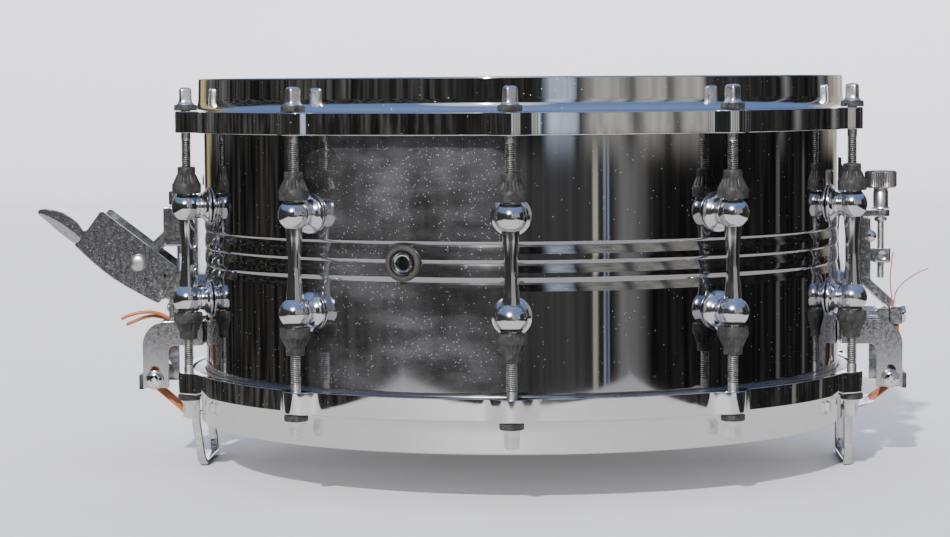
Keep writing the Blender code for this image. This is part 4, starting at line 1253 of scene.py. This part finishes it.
def build_guide_bar(name, place):
    node = [f"{name}_guide_bar"]
    add = partial(piece, body="drum", nodes=node, place=place)
    roller = rounded(
        [(0, -19.4), (4.0, -19.4), (3.85, -9.5), (3.85, 9.5), (4.0, 19.4), (0, 19.4)],
        [0, 0.4, 0.3, 0.3, 0.4, 0], 3,
    )
    bar = moved(lathe(roller, 40), along("Y", (GUIDE_BAR[0], 0, GUIDE_BAR[1])))
    add(f"{name}_roller", bar, STEEL)
    for number, axis in enumerate(("Y", "-Y"), 1):
        spot = Vector((GUIDE_BAR[0], 0, GUIDE_BAR[1]))
        ringed = rounded(rectangle(2.6, 5.3, 21.35, 22.2), [0, 0.2, 0.3, 0], 3, True)
        washer = moved(lathe(ringed, 40), along(axis, spot))
        add(f"{name}_bar_washer_{number}", washer, BRIGHT_ZINC)
        lift = Matrix.Translation((0, 21.9 if axis == "Y" else -21.9, 0))
        screw = screw_mesh(4.5, 2.3, lift @ along(axis, spot))
        add(f"{name}_bar_screw_{number}", screw, CHROME)


def build_guards():
    for name, place, lean in (("strainer", STRAINER, 0.13), ("butt", BUTT, 0.0)):
        path = [(-27.5, -81.3), (-27.5, -96.5)] + arc((-20.0, -113.2), 7.5, 180, 270, 10)
        path += arc((20.0, -113.2), 7.5, 270, 360, 10) + [(27.5, -96.5), (27.5, -81.3)]
        loops = []
        for index, point in enumerate(path):
            run = Vector(path[min(index + 1, len(path) - 1)]) - Vector(path[max(index - 1, 0)])
            across = Vector((-run.y, run.x)).normalized()
            shift = lean * max(-96.5 - point[1], 0)
            section = rounded(rectangle(-2.3, 2.3, -1.55, 1.55), 0.75, 4, True)
            loops.append(
                [(181.8 + u - shift, point[0] + across.x * v, point[1] + across.y * v) for u, v in section]
            )
        piece(f"{name}_stirrup", loft(loops), BRIGHT_ZINC, "drum", [f"{name}_guard"], place, 45)


# ---------------------------------------------------------------- snares and cords


def build_snares():
    pitch, coil, wire = 1.25, 0.95, 0.24
    points = []
    low, high = -176.0, 186.0
    turns = int((high - low) / pitch)
    per = 7
    for step in range(turns * per + 1):
        a = 2 * math.pi * step / per
        points.append((low + pitch * step / per, coil * math.cos(a), -91.0 + coil * math.sin(a)))
    strand = new_mesh("snare_strand", tube(points, wire, 4), 80)
    count = 18
    for index in range(count):
        y = (index - (count - 1) / 2) * 2.08
        place = DRUM @ Matrix.Translation((0, y * 0.001, 0))
        piece(f"snare_strand_{index + 1:02d}", strand, WIRE, "snares", ["snare_wires"], place, 80)
    left = [(-191.0, -94.8), (-184.0, -92.4), (-177.5, -91.0), (-170.0, -91.0)]
    right = [(180.5, -91.0), (186.5, -90.6), (197.4, -87.3)]
    for name, path in (("strainer", left), ("butt", right)):
        bend = [0] + [3.0] * (len(path) - 2) + [0]
        plate = prism(strip_outline(rounded(path, bend, 5), 0.9), -18.9, 18.9, "Y", 0.2)
        slots = []
        end = path[0] if name == "strainer" else path[-1]
        inward = 3.2 if name == "strainer" else -3.2
        for y in (-7.5, -2.5, 2.5, 7.5):
            hole = round_bar(-101, -80, 1.25, 20)
            slots.append(moved(hole, Matrix.Translation((end[0] + inward, y, 0))))
        piece(f"{name}_snare_clip", carved(plate, slots, angle=35), WIRE, "snares", ["snare_wires"], DRUM)


STRANDS = (-7.5, -2.5, 2.5, 7.5)


def cord_line(stops, y):
    """A cord's route through side-view points, cut finely enough to bend, and where each stop falls in it."""
    dense, marks = [], []
    for a, b in zip(stops, stops[1:]):
        marks.append(len(dense))
        a, b = Vector((a[0], y, a[1])), Vector((b[0], y, b[1]))
        cuts = max(int((b - a).length / 1.1), 1)
        dense += [a.lerp(b, cut / cuts) for cut in range(cuts)]
    return dense + [Vector((stops[-1][0], y, stops[-1][1]))], marks + [len(dense)]


def build_cords():
    """Four cords a side, in stretches between the bodies they join: clip, bar and clamp."""
    turn = 5.3
    strainer_bend = arc(GUIDE_BAR, turn, -54, 0, 9)
    butt_bend = arc(GUIDE_BAR, turn, -70, 0, 9)
    half_way = (204.4, -57.5)
    strainer = [(189.2, -95.4)] + strainer_bend + [half_way, (197.8, -41.5)]
    butt = [(195.6, -88.4)] + butt_bend + [(211.2, -43.5)]
    cut_cords(
        "strainer", STRAINER, strainer, (0, 1, 10, 11, 12), ("snares", "", "strainer_slide", "cord_clamp"),
    )
    cut_cords("butt", BUTT, butt, (0, 1, 10, 11), ("snares", "", "butt_slide"))


def cut_cords(name, place, stops, ends, movers):
    lines = []
    for y in STRANDS:
        line, marks = cord_line(stops, y)
        lines.append(tube_loops(line, 0.98, 12, (3, 0.10, 7.0)))
    marks = [marks[end] for end in ends]
    for number, mover in enumerate(movers):
        first, last = marks[number] + 2, marks[number + 1] + 3
        if number == 0:
            first = 0
        if number == len(movers) - 1:
            last += 2
        shape = together(*[loft(loops[first:last]) for loops in lines])
        made = piece(f"{name}_cords_{number + 1}", shape, ORANGE, "drum", (), place, 60)
        if mover:
            place_back = made.matrix_world.copy()
            made.parent = None
            made.matrix_world = place_back
            points = [
                place @ scaled_point((stops[i][0], 0, stops[i][1])) for i in ends[number : number + 2]
            ]
            if mover == "snares":
                points.reverse()
            del made["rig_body"]
            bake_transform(made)
        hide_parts(f"{name}_cords")


def build_tails():
    first = [
        (193.4, 5.6, -42.2), (197.0, 5.8, -41.2), (199.6, 6.0, -40.5), (203.6, 6.2, -38.4),
        (209.4, 6.6, -36.9),
    ]
    first += [(216.6, 7.0, -37.2), (222.8, 7.4, -38.9), (226.2, 7.6, -40.4)]
    second = [
        (193.4, 1.6, -43.0), (197.0, 1.8, -42.4), (199.6, 2.0, -41.8), (204.2, 2.2, -40.2),
        (209.6, 2.4, -39.4),
    ]
    second += [(215.0, 2.6, -40.4), (220.0, 2.8, -42.4), (224.2, 3.0, -44.1)]
    upright = [
        (208.4, -8.7, -38.0), (208.2, -8.7, -34.3), (207.8, -8.8, -29.0), (207.1, -9.0, -23.5),
        (207.0, -9.4, -17.0),
    ]
    upright += [(207.6, -9.7, -10.0), (208.3, -9.9, -4.4)]
    leaning = [(208.6, -9.9, -38.0), (208.8, -9.9, -34.3), (209.3, -10.0, -30.0), (210.6, -10.2, -25.5)]
    leaning += [(215.2, -10.4, -20.4), (221.6, -10.6, -16.2), (227.8, -10.8, -13.4)]
    tails = (
        ("strainer_tail_1", first, 1.0, ORANGE, "cord_clamp", "strainer_cord_tail_a", STRAINER, "stiff"),
        ("strainer_tail_2", second, 1.0, ORANGE, "cord_clamp", "strainer_cord_tail_b", STRAINER, "stiff"),
        ("butt_tail_1", upright, 0.4, COPPER, "butt_slide", "butt_wire_tail_a", BUTT, "stiff"),
        ("butt_tail_2", leaning, 0.4, COPPER, "butt_slide", "butt_wire_tail_b", BUTT, "stiff"),
    )
    for name, points, radius, material, body, node, place, stiffness in tails:
        line = smooth_path(points, 5)
        made = piece(
            name, tube(line, radius, 12, (3, 0.08, 7.0 * radius)), material, body, [node], place, 60,
        )


def scaled_point(point):
    return Vector(point) * 0.001


# ---------------------------------------------------------------- studio


def cloth_look(name, shade):
    colour = (shade, shade, shade * 1.045)
    look = Look(name, "", colour, 0.0, 0.8)
    cloud = look.noise(2.5, 4.0, 0.55)
    look.set("Base Color", look.mix(look.span(cloud, 0.3, 0.7), dimmed(colour, 0.97), colour))
    look.bump(look.noise(5.0, 3.0, 0.5), 0.05, 0.01)
    return look.material


def stage_mesh(name, points, faces, material):
    mesh = raw_mesh(name, (points, faces))
    mesh.shade_smooth()
    mesh.materials.append(material)
    made = linked(name, mesh)
    return made


def build_floor():
    """A pale round studio with a swept-up wall, and on its floor a smaller cloth, painted brighter as a lit
    copy, that the metal mirrors.
    """
    material = cloth_look("pale_cloth", 0.745)
    sweep = arc((3.4, 1.2), 1.2, 270, 360, 12)
    profile = [(0, 0), (1.0, 0), (2.2, 0)] + sweep + [(4.6, 2.2), (4.6, 4.0)]
    room = stage_mesh("studio_wall", *lathe([(r, FLOOR + z) for r, z in profile], 96), material)
    room.visible_glossy = False
    room.visible_shadow = False
    near, far, half = -0.64, 0.30, 0.46
    rows = [
        (near, half, 0.0), (far, half, 0.0), (0.6, 0.5, 0.0), (1.5, 0.62, 0.0), (1.9, 0.68, 0.15),
        (2.2, 0.72, 0.7), (2.25, 0.75, 1.7),
    ]
    points = [(side * wide, y, FLOOR + z) for y, wide, z in rows for side in (-1, 1)]
    faces = [(2 * i, 2 * i + 1, 2 * i + 3, 2 * i + 2) for i in range(len(rows) - 1)]
    # painted light: the cloth seen only in reflections is a brighter copy of the floor's cloth, 0.87 against
    # 0.745
    cloth = stage_mesh("mirrored_cloth", points, faces, cloth_look("painted_sunlit_cloth", 0.87))
    cloth.visible_camera = False
    cloth.visible_diffuse = False
    cloth.visible_shadow = False


def build_world():
    """A dark garden in front with a few pale walls and panes, and open sky above it."""
    world = bpy.data.worlds.new("studio")
    bpy.context.scene.world = world
    world.use_nodes = True
    look = Look.__new__(Look)
    look.tree = world.node_tree
    look.place = look.tree.nodes.new("ShaderNodeTexCoord").outputs["Generated"]
    axes = look.axes()
    turn = look.math("ARCTAN2", axes["X"], look.times(axes["Y"], -1.0))
    gold, pane, wall, cream = (0.50, 0.40, 0.20), (0.52, 0.60, 0.74), (0.40, 0.385, 0.35), (
        0.66, 0.62, 0.52,
    )
    dark = 0.012
    high = [(-180, 0.9), (-165, 0.85), (-162, dark), (-157, dark), (-155, gold), (-147, gold), (-145, dark)]
    high += [
        (-139, 0.14), (-134, dark), (-126, 0.10), (-121, dark), (9, 0.018), (12, pane), (19, pane),
        (21, 0.03),
    ]
    high += [
        (26, wall), (37, wall), (40, 0.07), (44, wall), (52, wall), (54, 0.06), (58, wall), (66, wall),
        (69, 0.03),
    ]
    high += [
        (104, dark), (107, 0.22), (110, dark), (129, dark), (132, 0.26), (136, dark), (154, cream),
        (180, 0.9),
    ]
    low = [
        (-180, 0.9), (-165, 0.85), (-161, dark), (-157, dark), (-155, gold), (-151, gold), (-148, dark),
        (-20, dark),
    ]
    low += [
        (0, 0.07), (24, 0.07), (33, dark), (37, 0.28), (43, 0.20), (48, dark), (154, dark), (158, cream),
        (180, 0.9),
    ]

    def bands(stops):
        return look.ramp(
            look.span(turn, -math.pi, math.pi), [((at + 180) / 360, level) for at, level in stops]
        )

    def stripe(at, half):
        away = look.math("ABSOLUTE", look.math("SUBTRACT", turn, math.radians(at)))
        return look.span(away, math.radians(half), math.radians(half * 1.6), 1.0, 0.0)

    lower = bands(low)
    thin = [(27.4, 0.7, cream), (30.7, 0.3, pane), (32.0, 0.25, pane)]
    thin += [(105, 0.8, (0.2, 0.2, 0.19)), (122, 0.7, (0.16, 0.16, 0.15))]
    for at, half, level in thin:
        lower = look.mix(stripe(at, half), lower, level)
    around = look.mix(look.span(axes["Z"], -0.030, -0.020), lower, bands(high))
    sway = look.noise(9.0, 5.0, 0.65)
    leafy = look.mix(1.0, around, look.span(sway, 0.3, 0.7, 0.45, 1.4), "MULTIPLY")
    upright = look.node("ShaderNodeCombineXYZ", {"X": turn, "Y": look.times(axes["Z"], 0.5)})
    trunks = look.span(look.noise(26.0, 6.0, 0.72, upright.outputs["Vector"]), 0.46, 0.74, 0.0, 0.16)
    trunks = look.times(trunks, look.span(turn, -0.6, -0.3, 1.0, 0.35))
    garden = look.mix(1.0, leafy, look.mix(trunks, (0.0, 0.0, 0.0), (1.0, 0.96, 0.86)), "ADD")
    height = look.plus(axes["Z"], look.times(look.math("SUBTRACT", sway, 0.5), 0.12))
    near = look.mix(look.span(height, -0.26, -0.16), (0.016, 0.016, 0.015), garden)
    sky = look.ramp(
        axes["Z"], [(0.0, (0.22, 0.30, 0.52)), (0.6, (0.15, 0.23, 0.46)), (1.0, (0.21, 0.31, 0.58))],
    )
    toward = look.node("ShaderNodeVectorMath", {0: look.place, 1: TOWARD_SUN}, operation="DOT_PRODUCT")
    sky = look.mix(look.span(toward.outputs["Value"], 0.92, 0.99), sky, (0.98, 0.99, 1.0))
    back = look.tree.nodes["Background"]
    look.tree.links.new(look.mix(look.span(height, 0.34, 0.46), near, sky), back.inputs["Color"])
    back.inputs["Strength"].default_value = 1.0


def add_sun(name, energy, spread, colour, aim, mirrored):
    data = bpy.data.lights.new(name, "SUN")
    data.energy = energy
    data.angle = math.radians(spread)
    data.color = colour
    lamp = linked(name, data)
    lamp.rotation_euler = Vector(aim).to_track_quat("-Z", "Y").to_euler()
    lamp.visible_glossy = mirrored


def add_under_light():
    """What the sunlit cloth and the drum's bottom throw at each other in the low gap between them."""
    data = bpy.data.lights.new("under", "AREA")
    data.shape = "DISK"
    data.size = 0.34
    data.energy = 0.045
    data.color = (1.0, 0.965, 0.88)
    lamp = linked("under", data)
    lamp.location = (0.0, 0.0, FLOOR + 0.008)
    lamp.visible_camera = False
    lamp.visible_glossy = False


def build_lights():
    """A low sun from the left of the camera, a broad soft fill from overhead, and light thrown back."""
    add_sun("key", 5.0, 1.6, (1.0, 0.975, 0.94), (0.32, 1.67, -1.0), True)
    add_sun("fill", 1.7, 150, (1.0, 0.965, 0.89), (0.0, 0.5, -1.0), False)
    add_sun("bounce", 1.3, 70, (1.0, 0.96, 0.90), (0.0, 1.0, -0.42), False)
    add_under_light()


def build_camera():
    """The camera looks from a little above the drum's middle, a touch to the right of the front lug."""
    data = bpy.data.cameras.new("camera")
    data.sensor_width = 36.0
    data.lens = 104.0
    data.clip_start = 0.05
    data.clip_end = 50.0
    camera = linked("camera", data)
    pan, tilt, roll, turn = math.radians(-0.96), math.radians(3.9), math.radians(-0.39), math.radians(-1.5)
    axes = Matrix.Rotation(roll, 3, "Y") @ Matrix.Rotation(tilt, 3, "X") @ Matrix.Rotation(
        pan + turn, 3, "Z",
    )
    right, forward, up = axes[0], axes[1], axes[2]
    facing = Matrix((right, up, -forward)).transposed().to_4x4()
    spot = Matrix.Rotation(-turn, 3, "Z") @ Vector((0, -1.550, 0.0925 + MIDDLE))
    camera.matrix_world = Matrix.Translation(spot) @ facing
    bpy.context.scene.camera = camera


build_camera()
build_tails()
build_shell()
build_vent()
build_heads()
build_hoops()
build_lugs()
build_rods()
build_strainer_base()
build_lever()
build_lever_pin()
build_link()
build_slide()
build_tension_knob()
build_cord_clamp()
build_butt_base()
build_butt_knob()
build_butt_slide()
build_guides()
build_guards()
build_snares()
build_cords()
build_floor()
build_world()
build_lights()
